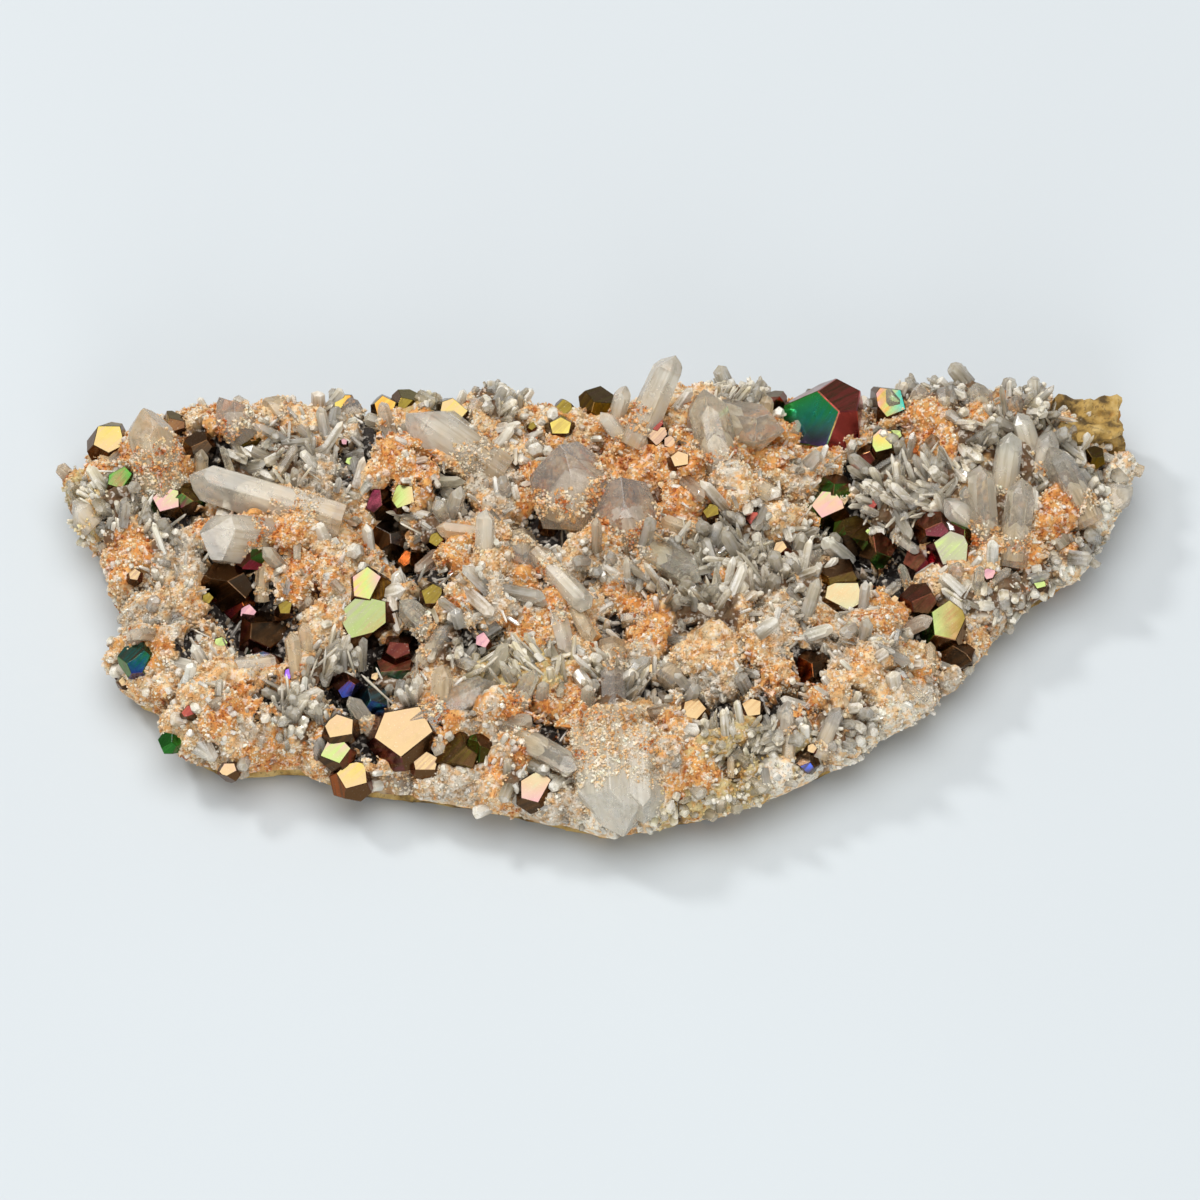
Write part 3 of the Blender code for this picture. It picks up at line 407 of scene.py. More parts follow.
# Thickness and length of a small prism in mm, least and most
PRISM_SIZES = {
    "orange": (0.5, 1.3, 1.0, 2.8), "cream": (0.5, 1.5, 1.0, 3.2), "sugar": (0.4, 1.2, 1.0, 3.2),
    "clear": (0.4, 2.2, 2.0, 7.8), "shaded_cavity": (0.3, 0.8, 1.6, 4.4), "yellow": (0.4, 1.7, 1.6, 5.2),
    "pale": (0.5, 2.0, 1.2, 4.0),
}
# Share of the small prisms that are see-through, and none in the kinds left out
SEE_THROUGH = {"clear": 0.45, "shaded_cavity": 0.6, "yellow": 0.35, "pale": 0.2, "sugar": 0.3}
CHUNKS_EACH = {
    "orange": 0.012, "cream": 0.02, "sugar": 0.02, "clear": 0.07, "shaded_cavity": 0.012,
    "yellow": 0.04, "pale": 0.03,
}
CHUNK_LOOKS = {
    "orange": "honey", "cream": "cloudy", "sugar": "glassy", "clear": "glassy", "shaded_cavity": "glassy",
    "yellow": "honey", "pale": "milky",
}

# Grains, small prisms and chunks: random places tried before thinning to the kinds' densities,
# and the least height over the ground's floor
GRAIN_TRIES, GRAIN_LOWEST = 90000, 0.6 * MM
PRISM_TRIES, PRISM_LOWEST = 60000, 1.0 * MM
CHUNK_TRIES, CHUNK_LOWEST = 16000, 1.5 * MM
GRAIN_PIECES = 4  # meshes that the grains are shared between, to keep each one small
GRAIN_REACH = 0.5 * MM  # of a grain over its place, where it is kept off the large crystals
WARMTH = (1.0, 0.965, 0.88)  # of every grain's tint, which turns it a little yellower
# Painted shade at the feet of the small crystals and the grains, which makes them darker than their
# tops
PRISM_FOOT_SHADE = 0.42  # how bright a small crystal is at its foot, as a share of its place's tint
GRAIN_FOOT_SHADE = 0.68  # the same of a grain
RIM_CALM = 9.0 * MM  # prisms and chunks are shorter this near to the rim

# The larger quartz crystals
QUARTZ_TINTS = {
    "milky": (253, 245, 228), "clear": (253, 244, 222), "smoky": (238, 228, 218),
    "massive": (246, 238, 218), "honey": (244, 220, 180),
}
QUARTZ_ROOT = 0.30  # share of a large crystal's length that is buried
QUARTZ_SINK = 0.12  # how deep its root lies under the crust, in thicknesses
CORE_WIDTH = 0.72  # of a crystal's milky core, in the crystal's thickness
# How far up a crystal its core reaches, least and most
CORE_SHARES = {
    "milky": (0.60, 0.80), "clear": (0.25, 0.50), "smoky": (0.35, 0.55), "honey": (0.50, 0.75),
    "massive": (0.55, 0.70),
}
COAT_EACH = 6.0  # grains on each square millimetre of a coated crystal
COAT_START = -0.1  # share below the root at which a thin coat begins
COAT_REACH = 0.16  # how far up a crystal its coat reaches unless its row says, in lengths
COAT_THICK = 0.5  # a coat that reaches this far begins at the buried end
QUARTZ_SPREAD = 7.0  # how fast a texture shifts from one large crystal to the next
PYRITE_SPREAD = 5.0  # and from one pyrite crystal to the next

# Quartz finishes: how see-through, roughness, colour and strength of the veils, and whether the
# streaks stand in relief
QUARTZ_FINISHES = {
    "clear": (0.80, 0.03, (0.98, 0.95, 0.90), 0.6, True),
    "glassy": (0.62, 0.04, (1.0, 0.98, 0.94), 0.7, False),
    "smoky": (0.80, 0.04, (0.90, 0.85, 0.79), 0.6, True),
    "milky": (0.62, 0.07, (0.98, 0.94, 0.87), 0.6, True),
    "honey": (0.60, 0.09, (0.95, 0.86, 0.70), 0.6, True),
    "massive": (0.50, 0.12, (0.96, 0.92, 0.84), 0.6, True),
    "cloudy": (0.15, 0.10, (0.99, 0.96, 0.90), 0.7, False),
    "core": (0.0, 0.40, (0.97, 0.94, 0.88), 0.7, False),
}
QUARTZ_INDEX = 1.54  # of refraction

# Colours (sRGB) of the druse's ochre dust, pale bloom and painted shade in its fine pits, and of the
# rock
DUST_TINT = (246, 200, 136)
BLOOM_TINT = (246, 236, 222)
SPECK_SHADE_TINT = (76, 60, 44)
OCHRE, UMBER, STRAW, RUST = (176, 142, 76), (92, 72, 40), (206, 178, 118), (198, 136, 58)

# Disc lights facing the plate: place and diameter in metres, and radiance
LIGHTS = {
    "softbox": ((0.0, 0.14, 2.0), 2.2, 2.75),
    "lamp": ((-1.2, 0.9, 1.5), 0.36, 42.0),
    "front_card": ((0.0, -1.55, 0.62), 1.0, 3.6),
}
SKY_COLOUR, SKY_STRENGTH = (0.97, 0.99, 1.0, 1.0), 0.33
FLOOR_TINTS = ((204, 209, 212), (207, 213, 216))
FLOOR_SIZE = 3.0  # half the floor's side


# Places read off the photograph


def view_axes():
    """The viewing direction and the photograph's up, as seen from the camera's place."""
    forward = Vector((0.0, math.cos(VIEW_ELEVATION), -math.sin(VIEW_ELEVATION)))
    up = Vector((0.0, math.sin(VIEW_ELEVATION), math.cos(VIEW_ELEVATION)))
    return forward, up


FORWARD, UP = view_axes()
EYE = VIEW_CENTRE - FORWARD * VIEW_DISTANCE
RIGHT = Vector((1.0, 0.0, 0.0))


def sight_way(pixel):
    """Direction of the line of sight through a pixel of the photograph."""
    aside = (pixel[0] - PHOTO_MIDDLE) * PIXEL / VIEW_DISTANCE
    above = (PHOTO_MIDDLE - pixel[1]) * PIXEL / VIEW_DISTANCE
    return (FORWARD + RIGHT * aside + UP * above).normalized()


def seen_at(pixel, height):
    """The point at that height over the underside which the pixel shows."""
    way = sight_way(pixel)
    return EYE + way * ((height - EYE.z) / way.z)


def pixels_of(points):
    """The photograph's pixels that show these points."""
    offset = points - np.array(EYE)
    scale = VIEW_DISTANCE / PIXEL / (offset @ np.array(FORWARD))
    across = PHOTO_MIDDLE + offset @ np.array(RIGHT) * scale
    down = PHOTO_MIDDLE - offset @ np.array(UP) * scale
    return np.column_stack((across, down))


def outline():
    """The plate's plan outline, anticlockwise when seen from above."""
    far = [seen_at(pixel, FAR_RIM_HEIGHT).xy for pixel in FAR_EDGE]
    near = [seen_at(pixel, NEAR_RIM_HEIGHT).xy for pixel in NEAR_EDGE]
    return list(reversed(far + near))


EDGE = outline()


def distance_inside(points):
    """How far each plan point lies inside the plate's outline, and 0 outside it."""
    start = np.array(EDGE, float)
    span = np.roll(start, -1, axis=0) - start
    offset = points[:, None, :] - start[None, :, :]
    share = np.clip((offset * span).sum(2) / (span**2).sum(1), 0.0, 1.0)
    away = np.sqrt(((offset - share[..., None] * span) ** 2).sum(2)).min(1)
    crosses = (offset[..., 1] < 0) != (offset[..., 1] < span[..., 1])
    left = offset[..., 0] * span[..., 1] < offset[..., 1] * span[..., 0]
    within = (crosses & (left == (span[..., 1] > 0))).sum(1) % 2 == 1
    return away * within


def ripple(x, y):
    """A gentle unevenness of about a millimetre, made of a few crossed waves."""
    waves = ((0.61, 0.23, 0.0), (-0.34, 0.72, 1.3), (0.83, -0.57, 2.1), (0.19, 1.07, 4.0))
    return 0.32 * MM * sum(np.sin((a * x + b * y) / MM + phase) for a, b, phase in waves)


def crust_height(x, y, inside):
    """Height of the crust over the plan point (x, y), which lies that far inside the outline."""
    rise = np.clip(inside / RIM_WIDTH, 0.0, 1.0)
    height = RIM_TOP + (CRUST_TOP - RIM_TOP) * np.sqrt(rise)
    for pixel, radius, knob in KNOBS:
        middle = seen_at(pixel, CRUST_TOP)
        away = ((x - middle.x) ** 2 + (y - middle.y) ** 2) / (radius * MM) ** 2
        height = height + knob * MM * np.exp(-away) * (0.35 + 0.65 * rise)
    return height + ripple(x, y) * rise


def on_crust(pixel):
    """Where the sight line through that pixel meets the crust."""
    height = CRUST_TOP
    for _ in range(SIGHT_STEPS):
        place = seen_at(pixel, height)
        plan = np.array([[place.x, place.y]])
        under = crust_height(plan[:, 0], plan[:, 1], distance_inside(plan))[0]
        height += (under - height) / 2
    return seen_at(pixel, height)


# Noise and patches


KNOB_SIZE = 4.8 * MM
KNOB_SEED = 71
KNOB_UNITY = 0.5  # how far a knob is all of one kind
# Size and seed of the noise that frays the patches' edges, and how far it shifts them, in pixels
FRAYS = ((4.5 * MM, 40, 10.0), (1.1 * MM, 50, 9.0))
MOTTLE_SIZE = 1.7 * MM  # of the noise by which one kind breaks into the next
TINT_SIZE = 1.5 * MM  # of the noise that neighbouring grains share in their tints
TINT_LOW, TINT_SPAN = 0.22, 0.52  # of that noise, stretched over the palette
TINT_SPREAD = 0.22  # of single grains from it
SHADES = (0.84, 1.16)  # least and most brightness of a grain, by its tint


def cell_draws(cells, seed):
    """A steady random number from 0 to 1 for each whole-number cell."""
    mixed = cells[..., 0] * 73856093 ^ cells[..., 1] * 19349663 ^ cells[..., 2] * 83492791
    mixed = (mixed ^ (seed * 40503 + 977)) & 0xFFFFFFFF
    mixed = ((mixed ^ (mixed >> 13)) * 1274126177) & 0xFFFFFFFF
    mixed = ((mixed ^ (mixed >> 16)) * 668265263) & 0xFFFFFFFF
    return ((mixed ^ (mixed >> 15)) & 0xFFFF) / 65535.0


def noise(points, size, seed=0):
    """Smooth noise from 0 to 1 with lumps of about that size."""
    scaled = points / size
    low = np.floor(scaled).astype(np.int64)
    part = scaled - low
    part = part * part * (3.0 - 2.0 * part)
    total = np.zeros(len(points))
    for corner in itertools.product((0, 1), repeat=3):
        weight = np.prod(np.where(corner, part, 1.0 - part), axis=1)
        total += weight * cell_draws(low + np.array(corner), seed)
    return total


def noise_way(points, size, seed):
    """A smooth field of directions, each part from -1 to 1."""
    return np.column_stack([noise(points, size, seed + k) * 2.0 - 1.0 for k in range(3)])


def domes(points, size, seed):
    """Height in sizes of overlapping round knobs, and the plan middle of each point's knob."""
    flat = points[:, :2] / size
    low = np.floor(flat).astype(np.int64)
    best = np.full(len(points), -1.0)
    middles = np.zeros((len(points), 2))
    for step in itertools.product((-1, 0, 1), repeat=2):
        cell = low + np.array(step)
        key = np.column_stack((cell, np.zeros(len(cell), np.int64)))
        middle = cell + np.column_stack((cell_draws(key, seed), cell_draws(key, seed + 1)))
        reach = 0.50 + 0.40 * cell_draws(key, seed + 2)
        away = np.linalg.norm(flat - middle, axis=1)
        height = reach * np.sqrt(np.clip(1.0 - (away / reach) ** 2, 0.0, 1.0))
        higher = height > best
        best = np.where(higher, height, best)
        middles[higher] = middle[higher]
    return best, middles * size


def kinds_at(points):
    """Which kind of druse each point is, as a place in PATCHES' order."""
    middles = domes(points, KNOB_SIZE, KNOB_SEED)[1]
    knobs = np.column_stack((middles, points[:, 2]))
    seen = pixels_of(points * (1.0 - KNOB_UNITY) + knobs * KNOB_UNITY)
    for size, seed, shift in FRAYS:
        seen += noise_way(points, size, seed)[:, :2] * shift
    scores = []
    for number, (kind, patches) in enumerate(PATCHES.items()):
        score = np.full(len(points), BASE_SCORES[kind])
        for x, y, *radius in patches:
            reach = radius[0] if radius else PATCH_RADIUS
            away = ((seen[:, 0] - x) ** 2 + (seen[:, 1] - y) ** 2) / reach**2
            score = np.maximum(score, np.exp(-away))
        scores.append(score * (0.55 + 0.9 * noise(points, MOTTLE_SIZE, 60 + number)))
    return np.argmax(scores, axis=0)


KINDS = list(PATCHES)


def linear(colour):
    """Linear values of sRGB colours given from 0 to 255."""
    value = np.asarray(colour, float) / 255.0
    return np.where(value <= 0.04045, value / 12.92, ((value + 0.055) / 1.055) ** 2.4)


def tints_of(places, kinds, draws):
    """A colour for each grain from its kind's tints, much like its neighbours' colours."""
    palette = np.array([[linear(tint) for tint in TINTS[kind]] for kind in KINDS])
    last = palette.shape[1] - 1
    level = (noise(places, TINT_SIZE, 90) - TINT_LOW) / TINT_SPAN
    level = np.clip(level + draws.normal(0.0, TINT_SPREAD, len(kinds)), 0.0, 0.999) * last
    low = level.astype(int)
    part = (level - low)[:, None]
    tint = palette[kinds, low] * (1.0 - part) + palette[kinds, low + 1] * part
    return np.clip(tint * WARMTH * draws.uniform(*SHADES, (len(kinds), 1)), 0.0, 1.0)


# Meshes


def linked(name, data):
    """A new object of that data, in the scene."""
    made = bpy.data.objects.new(name, data)
    bpy.context.scene.collection.objects.link(made)
    return made


def add_colours(mesh, name, colours):
    """Keeps a colour for each point."""
    layer = mesh.color_attributes.new(name, "FLOAT_COLOR", "POINT")
    whole = np.column_stack((colours, np.ones(len(colours))))
    layer.data.foreach_set("color", whole.astype(np.float32).ravel())


def mesh_object(name, points, triangles, tint, local):
    """A flat-shaded mesh from arrays, with the colour and the crystal's own place of each point."""
    mesh = bpy.data.meshes.new(name)
    mesh.vertices.add(len(points))
    mesh.vertices.foreach_set("co", np.ascontiguousarray(points, np.float32).ravel())
    mesh.loops.add(triangles.size)
    mesh.loops.foreach_set("vertex_index", np.ascontiguousarray(triangles, np.int32).ravel())
    mesh.polygons.add(len(triangles))
    mesh.polygons.foreach_set("loop_start", np.arange(0, triangles.size, 3, dtype=np.int32))
    mesh.update(calc_edges=True)
    mesh.validate()
    mesh.shade_flat()
    add_colours(mesh, "tint", tint)
    layer = mesh.attributes.new("local", "FLOAT_VECTOR", "POINT")
    layer.data.foreach_set("vector", local.astype(np.float32).ravel())
    return linked(name, mesh)


def joined(parts):
    """Joins parts, each of points, triangles and further arrays with a row for each point."""
    starts = np.cumsum([0] + [len(part[0]) for part in parts[:-1]])
    triangles = np.concatenate([part[1] + start for part, start in zip(parts, starts)])
    points, _, *others = (np.concatenate(rows) for rows in zip(*parts))
    return points, triangles, *others


def picked(chosen, *arrays):
    """The chosen rows of each array."""
    return [array[chosen] for array in arrays]


def facings(corners):
    """The way that each triangle faces, and twice its area."""
    across = np.cross(corners[:, 1] - corners[:, 0], corners[:, 2] - corners[:, 0])
    area = np.linalg.norm(across, axis=1)
    return across / np.maximum(area, 1e-15)[:, None], area


def arrays_of(shape):
    """Points and triangles of a bmesh, which is then freed."""
    bmesh.ops.triangulate(shape, faces=shape.faces)
    shape.verts.index_update()
    points = np.array([vertex.co for vertex in shape.verts])
    triangles = np.array([[vertex.index for vertex in face.verts] for face in shape.faces])
    shape.free()
    return points, triangles


def cut_by(shape, way, depth):
    """Cuts a convex shape flat at that depth along that way, and closes it."""
    everything = shape.verts[:] + shape.edges[:] + shape.faces[:]
    made = bmesh.ops.bisect_plane(
        shape, geom=everything, plane_co=way * depth, plane_no=way, clear_outer=True,
    )
    rim = [item for item in made["geom_cut"] if isinstance(item, bmesh.types.BMEdge)]
    if rim:
        bmesh.ops.contextual_create(shape, geom=rim)


POINT_LEAN = math.radians(51.8)  # of quartz's point faces from the crystal's axis


def quartz_solid(thickness, length, buried, draws, edges=0.0):
    """A quartz crystal along +Z from -buried to length, its faces at uneven depths."""
    shape = bmesh.new()
    bmesh.ops.create_cube(shape, size=2.0)
    half = (length + buried) / 2
    for vertex in shape.verts:
        vertex.co.x *= thickness
        vertex.co.y *= thickness
        vertex.co.z = length * 1.02 if vertex.co.z > 0 else -buried
    flat = draws.uniform(0.80, 1.0)
    start = draws.uniform(0.0, math.pi / 3)
    for side in range(6):
        turn = start + side * math.pi / 3
        lean = math.radians(draws.uniform(0.3, 2.2))
        level = math.cos(lean)
        way = Vector((math.cos(turn) * level, math.sin(turn) * level, math.sin(lean)))
        narrow = flat if side % 3 == 0 else 1.0
        depth = thickness * 0.49 * draws.uniform(0.90, 1.08) * narrow + half * math.sin(lean)
        cut_by(shape, way, depth)
    for side in range(6):
        turn = start + side * math.pi / 3
        way = Vector((
            math.cos(turn) * math.sin(POINT_LEAN), math.sin(turn) * math.sin(POINT_LEAN),
            math.cos(POINT_LEAN),
        ))
        main = side % 2 == 0
        back = draws.uniform(0.0, 0.10) if main else draws.uniform(-0.14, 0.03)
        cut_by(shape, way, length * math.cos(POINT_LEAN) - back * thickness)
    bmesh.ops.recalc_face_normals(shape, faces=shape.faces)
    if edges:
        bmesh.ops.bevel(
            shape, geom=shape.edges[:], offset=edges, segments=1, affect="EDGES",
            clamp_overlap=True,
        )
    return arrays_of(shape)


GRAIN_SIDES = 4


def grain_solid(draws):
    """A stubby grain with a low point above and below, about a unit thick."""
    sides = GRAIN_SIDES
    ring = []
    for side in range(sides):
        turn = 2 * math.pi * (side + draws.uniform(-0.2, 0.2)) / sides
        reach = draws.uniform(0.42, 0.60)
        ring.append((math.cos(turn) * reach, math.sin(turn) * reach, draws.uniform(0.1, 0.3)))
    top = (draws.uniform(-0.15, 0.15), 0.0, draws.uniform(0.5, 0.8))
    points = np.array(ring + [top, (0, 0, -0.5)])
    triangles = []
    for side in range(sides):
        after = (side + 1) % sides
        triangles += [(side, after, sides), (after, side, sides + 1)]
    return points, np.array(triangles)


def unit_crystals(count, length, buried, draws, edges=0.0):
    """Quartz crystals a unit thick, with their length drawn in to a unit too."""
    made = []
    for _ in range(count):
        points, triangles = quartz_solid(1.0, length, buried, draws, edges)
        made.append((points / np.array((1.0, 1.0, length)), triangles))
    return made


def frames_along(axes, twists):
    """A turn for each axis, which carries +Z to it, after a twist about +Z."""
    helper = np.where(np.abs(axes[:, 2:3]) < 0.9, [[0.0, 0.0, 1.0]], [[1.0, 0.0, 0.0]])
    x = np.cross(helper, axes)
    x /= np.linalg.norm(x, axis=1, keepdims=True)
    y = np.cross(axes, x)
    c, s = np.cos(twists)[:, None], np.sin(twists)[:, None]
    return np.stack((x * c + y * s, y * c - x * s, axes), axis=2)


def joined_copies(name, templates, places, axes, sizes, tints, feet, draws):
    """One mesh of a copy of a template at each place, with its own size, turn and two colours."""
    turns = frames_along(axes, draws.uniform(0.0, 2 * math.pi, len(places)))
    which = draws.integers(0, len(templates), len(places))
    parts = []
    for number, (shape, triangles) in enumerate(templates):
        mine = np.flatnonzero(which == number)
        if not len(mine):
            continue
        local = shape[None, :, :] * sizes[mine][:, None, :]
        points = np.einsum("gij,gvj->gvi", turns[mine], local) + places[mine][:, None, :]
        shift = (np.arange(len(mine)) * len(shape))[:, None, None]
        # Each copy's colour runs from its foot colour, which the callers darken as painted shade, up
        # to its tint
        along = np.clip(shape[:, 2] / shape[:, 2].max(), 0.0, 1.0)[None, :, None]
        both = feet[mine][:, None, :] * (1.0 - along) + tints[mine][:, None, :] * along
        own = local + draws.uniform(0.0, 1.0, (len(mine), 1, 3))
        arrays = (points, triangles[None, :, :] + shift, both, own)
        parts.append([array.reshape(-1, 3) for array in arrays])
    return mesh_object(name, *joined(parts))


def mesh_points(obj):
    """The mesh's points as an array."""
    points = np.empty(len(obj.data.vertices) * 3)
    obj.data.vertices.foreach_get("co", points)
    return points.reshape(-1, 3)


def mesh_normals(obj):
    """The way that the surface faces at each point."""
    ways = np.empty(len(obj.data.vertices) * 3, np.float32)
    obj.data.vertices.foreach_get("normal", ways)
    return ways.reshape(-1, 3).astype(float)


def set_mesh_points(obj, points):
    """Moves the mesh's points to those of the array."""
    obj.data.vertices.foreach_set("co", points.astype(np.float32).ravel())
    obj.data.update()


def baked(obj):
    """Applies the object's modifiers."""
    bpy.context.view_layer.update()
    graph = bpy.context.evaluated_depsgraph_get()
    mesh = bpy.data.meshes.new_from_object(obj.evaluated_get(graph))
    obj.modifiers.clear()
    obj.data = mesh
    return obj


def remeshed(obj, voxel):
    """Remeshes the object in voxels of that size."""
    remesh = obj.modifiers.new("Remesh", "REMESH")
    remesh.mode = "VOXEL"
    remesh.voxel_size = voxel
    return baked(obj)


# Materials


def node(tree, kind, links=(), **settings):
    """A shader node with its settings, and its inputs linked or set by name or number."""
    made = tree.nodes.new(kind)
    for key, value in settings.items():
        setattr(made, key, value)
    for key, value in dict(links).items():
        if isinstance(value, bpy.types.NodeSocket):
            tree.links.new(value, made.inputs[key])
        else:
            made.inputs[key].default_value = value
    return made


def shader_of(name, values):
    """A new material and its Principled shader with plain values on its sockets."""
    made = bpy.data.materials.new(name)
    made.use_nodes = True
    shader = made.node_tree.nodes["Principled BSDF"]
    for key, value in values.items():
        shader.inputs[key].default_value = value
    return made, made.node_tree, shader


def attribute(tree, name, output="Vector"):
    """An attribute of the mesh's points."""
    return node(tree, "ShaderNodeAttribute", attribute_name=name).outputs[output]


def ramp(tree, factor, stops):
    """A colour ramp from (place, grey) or (place, colour) stops."""
    made = node(tree, "ShaderNodeValToRGB", {"Fac": factor})
    while len(made.color_ramp.elements) < len(stops):
        made.color_ramp.elements.new(0.5)
    for element, (place, colour) in zip(made.color_ramp.elements, stops):
        element.position = place
        grey = isinstance(colour, (int, float))
        element.color = (colour, colour, colour, 1.0) if grey else (*colour, 1.0)
    return made.outputs["Color"]


def mixed(tree, factor, first, second, blend="MIX"):
    """Two colours mixed by a factor."""
    made = node(tree, "ShaderNodeMix", data_type="RGBA", blend_type=blend)
    for key, value in ((0, factor), (6, first), (7, second)):
        if isinstance(value, bpy.types.NodeSocket):
            tree.links.new(value, made.inputs[key])
        else:
            made.inputs[key].default_value = value
    return made.outputs[2]


def texture(tree, place, scale, detail=3.0, roughness=0.55):
    """A noise texture from 0 to 1."""
    return node(
        tree, "ShaderNodeTexNoise",
        {"Vector": place, "Scale": scale, "Detail": detail, "Roughness": roughness},
    ).outputs["Fac"]


def stretched(tree, place, scale):
    """The place with a scale of its own along each axis."""
    return node(tree, "ShaderNodeMapping", {"Vector": place, "Scale": scale}).outputs["Vector"]


def add_bump(tree, shader, height, strength, distance):
    """Relief that leaves the mesh as it is."""
    bump = node(
        tree, "ShaderNodeBump", {"Height": height, "Strength": strength, "Distance": distance},
    )
    tree.links.new(bump.outputs["Normal"], shader.inputs["Normal"])


def crystal_material(name, clear, roughness, veil, veils, relief):
    """Quartz: see-through by that much, with pale veils and streaks along the crystal."""
    made, tree, shader = shader_of(name, {
        "Transmission Weight": clear, "IOR": QUARTZ_INDEX, "Specular IOR Level": 0.6,
    })
    local = attribute(tree, "local")
    streaks = texture(tree, stretched(tree, local, (1300.0, 1300.0, 110.0)), 1.0, 3.0, 0.65)
    clouds = texture(tree, local, 420.0, 3.0, 0.6)
    amount = ramp(tree, mixed(tree, 0.45, streaks, clouds), ((0.42, 0.0), (0.60, veils)))
    colour = mixed(tree, amount, attribute(tree, "tint", "Color"), (*veil, 1.0))
    shade = ramp(tree, streaks, ((0.32, 0.70), (0.50, 1.0)))
    colour = mixed(tree, 0.8, colour, shade, "MULTIPLY")
    tree.links.new(colour, shader.inputs["Base Color"])
    rough = ramp(tree, clouds, ((0.35, roughness), (0.65, roughness + 0.25)))
    tree.links.new(rough, shader.inputs["Roughness"])
    if relief:
        add_bump(tree, shader, streaks, 0.30, 0.08 * MM)
    return made


def druse_material(name, roughness, speck_shade, bump):
    """Opaque druse: the grain's own colour, mottled and granular, with painted shade in the low spots
    of its fine relief.
    """
    made, tree, shader = shader_of(name, {"Specular IOR Level": 0.5, "IOR": QUARTZ_INDEX})
    place = node(tree, "ShaderNodeNewGeometry").outputs["Position"]
    fine = texture(tree, place, 2300.0, 3.0, 0.65)
    patchy = texture(tree, place, 620.0, 2.0)
    dusty = ramp(tree, patchy, ((0.44, 0.0), (0.60, 0.75)))
    tint = attribute(tree, "tint", "Color")
    colour = mixed(tree, dusty, tint, (*linear(DUST_TINT), 1.0), "MULTIPLY")
    pale = ramp(tree, texture(tree, place, 900.0, 2.0), ((0.54, 0.0), (0.64, 0.6)))
    colour = mixed(tree, pale, colour, (*linear(BLOOM_TINT), 1.0))
    # Painted shade: flecks of a dark colour where the fine relief is low
    dark = ramp(tree, fine, ((0.34, speck_shade), (0.44, 0.0)))
    colour = mixed(tree, dark, colour, (*linear(SPECK_SHADE_TINT), 1.0))
    tree.links.new(colour, shader.inputs["Base Color"])
    rough = ramp(tree, fine, ((0.3, roughness), (0.7, roughness + 0.25)))
    tree.links.new(rough, shader.inputs["Roughness"])
    if bump:
        add_bump(tree, shader, fine, bump, 0.30 * MM)
    return made


def pyrite_material():
    """Tarnished pyrite: a metal whose film colours run in fine stripes across each face."""
    made, tree, shader = shader_of("pyrite_film", {"Metallic": 1.0})
    local = attribute(tree, "local")
    stripes = texture(tree, stretched(tree, local, (70.0, 1500.0, 70.0)), 1.0, 3.0, 0.6)
    clouds = texture(tree, local, 500.0, 4.0, 0.6)
    amount = ramp(tree, mixed(tree, 0.20, stripes, clouds), ((0.44, 0.0), (0.58, 0.85)))
    colour = mixed(
        tree, amount, attribute(tree, "tint", "Color"), attribute(tree, "second", "Color"),
    )
    dust = ramp(tree, texture(tree, local, 3400.0, 2.0), ((0.66, 0.0), (0.74, 0.55)))
    colour = mixed(tree, dust, colour, (0.42, 0.37, 0.30, 1.0))
    tree.links.new(colour, shader.inputs["Base Color"])
    rough = ramp(tree, clouds, ((0.3, 0.13), (0.7, 0.30)))
    tree.links.new(rough, shader.inputs["Roughness"])
    add_bump(tree, shader, stripes, 0.20, 0.06 * MM)
    return made


def rock_material():
    """Ochre host rock, mottled with brown and pale grains."""
    made, tree, shader = shader_of("host_rock", {"Specular IOR Level": 0.35})
    place = node(tree, "ShaderNodeNewGeometry").outputs["Position"]
    broad = texture(tree, place, 240.0, 4.0)
    fine = texture(tree, place, 1600.0, 3.0)
    ochre, umber, straw = linear(OCHRE), linear(UMBER), linear(STRAW)
    colour = ramp(tree, broad, ((0.36, tuple(umber)), (0.48, tuple(ochre)), (0.66, tuple(straw))))
    rust = ramp(tree, texture(tree, place, 150.0, 2.0), ((0.56, 0.0), (0.66, 0.7)))
    colour = mixed(tree, rust, colour, (*linear(RUST), 1.0))
    colour = mixed(tree, ramp(tree, fine, ((0.34, 0.6), (0.44, 0.0))), colour, (*umber, 1.0))
    tree.links.new(colour, shader.inputs["Base Color"])
    tree.links.new(ramp(tree, fine, ((0.3, 0.6), (0.7, 0.95))), shader.inputs["Roughness"])
    add_bump(tree, shader, fine, 0.5, 0.25 * MM)
    return made


def given(obj, finish, slot, *nodes):
    """Gives a piece its finish and the solids it stands for, and lets it ride; its slot is not used.
    """
    obj.data.materials.clear()
    obj.data.materials.append(finish)
    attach(obj, "root")
    if nodes:
        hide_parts(*nodes)
    return obj


# The crust's ground


GROUND_VOXEL = 0.64 * MM
GROUND_FLOOR = CRUST_FLOOR - 0.1 * MM
GROUND_BELOW = CRUST_FLOOR - 0.6 * MM  # the slab's underside, until it is raised to GROUND_FLOOR
LUMP_SIZE = 2.0 * MM
LUMP_SEED = 75
# Relief of the knobs, the lumps on them and the small noise, and the cavities' depth, all in mm
KNOB_RELIEF = 4.4
LUMP_RELIEF = 1.2
SMALL_RELIEF = 0.8
CAVITY_DEPTH = 2.6
RELIEF_RISE = 3.0 * MM  # height over the floor at which the relief is whole


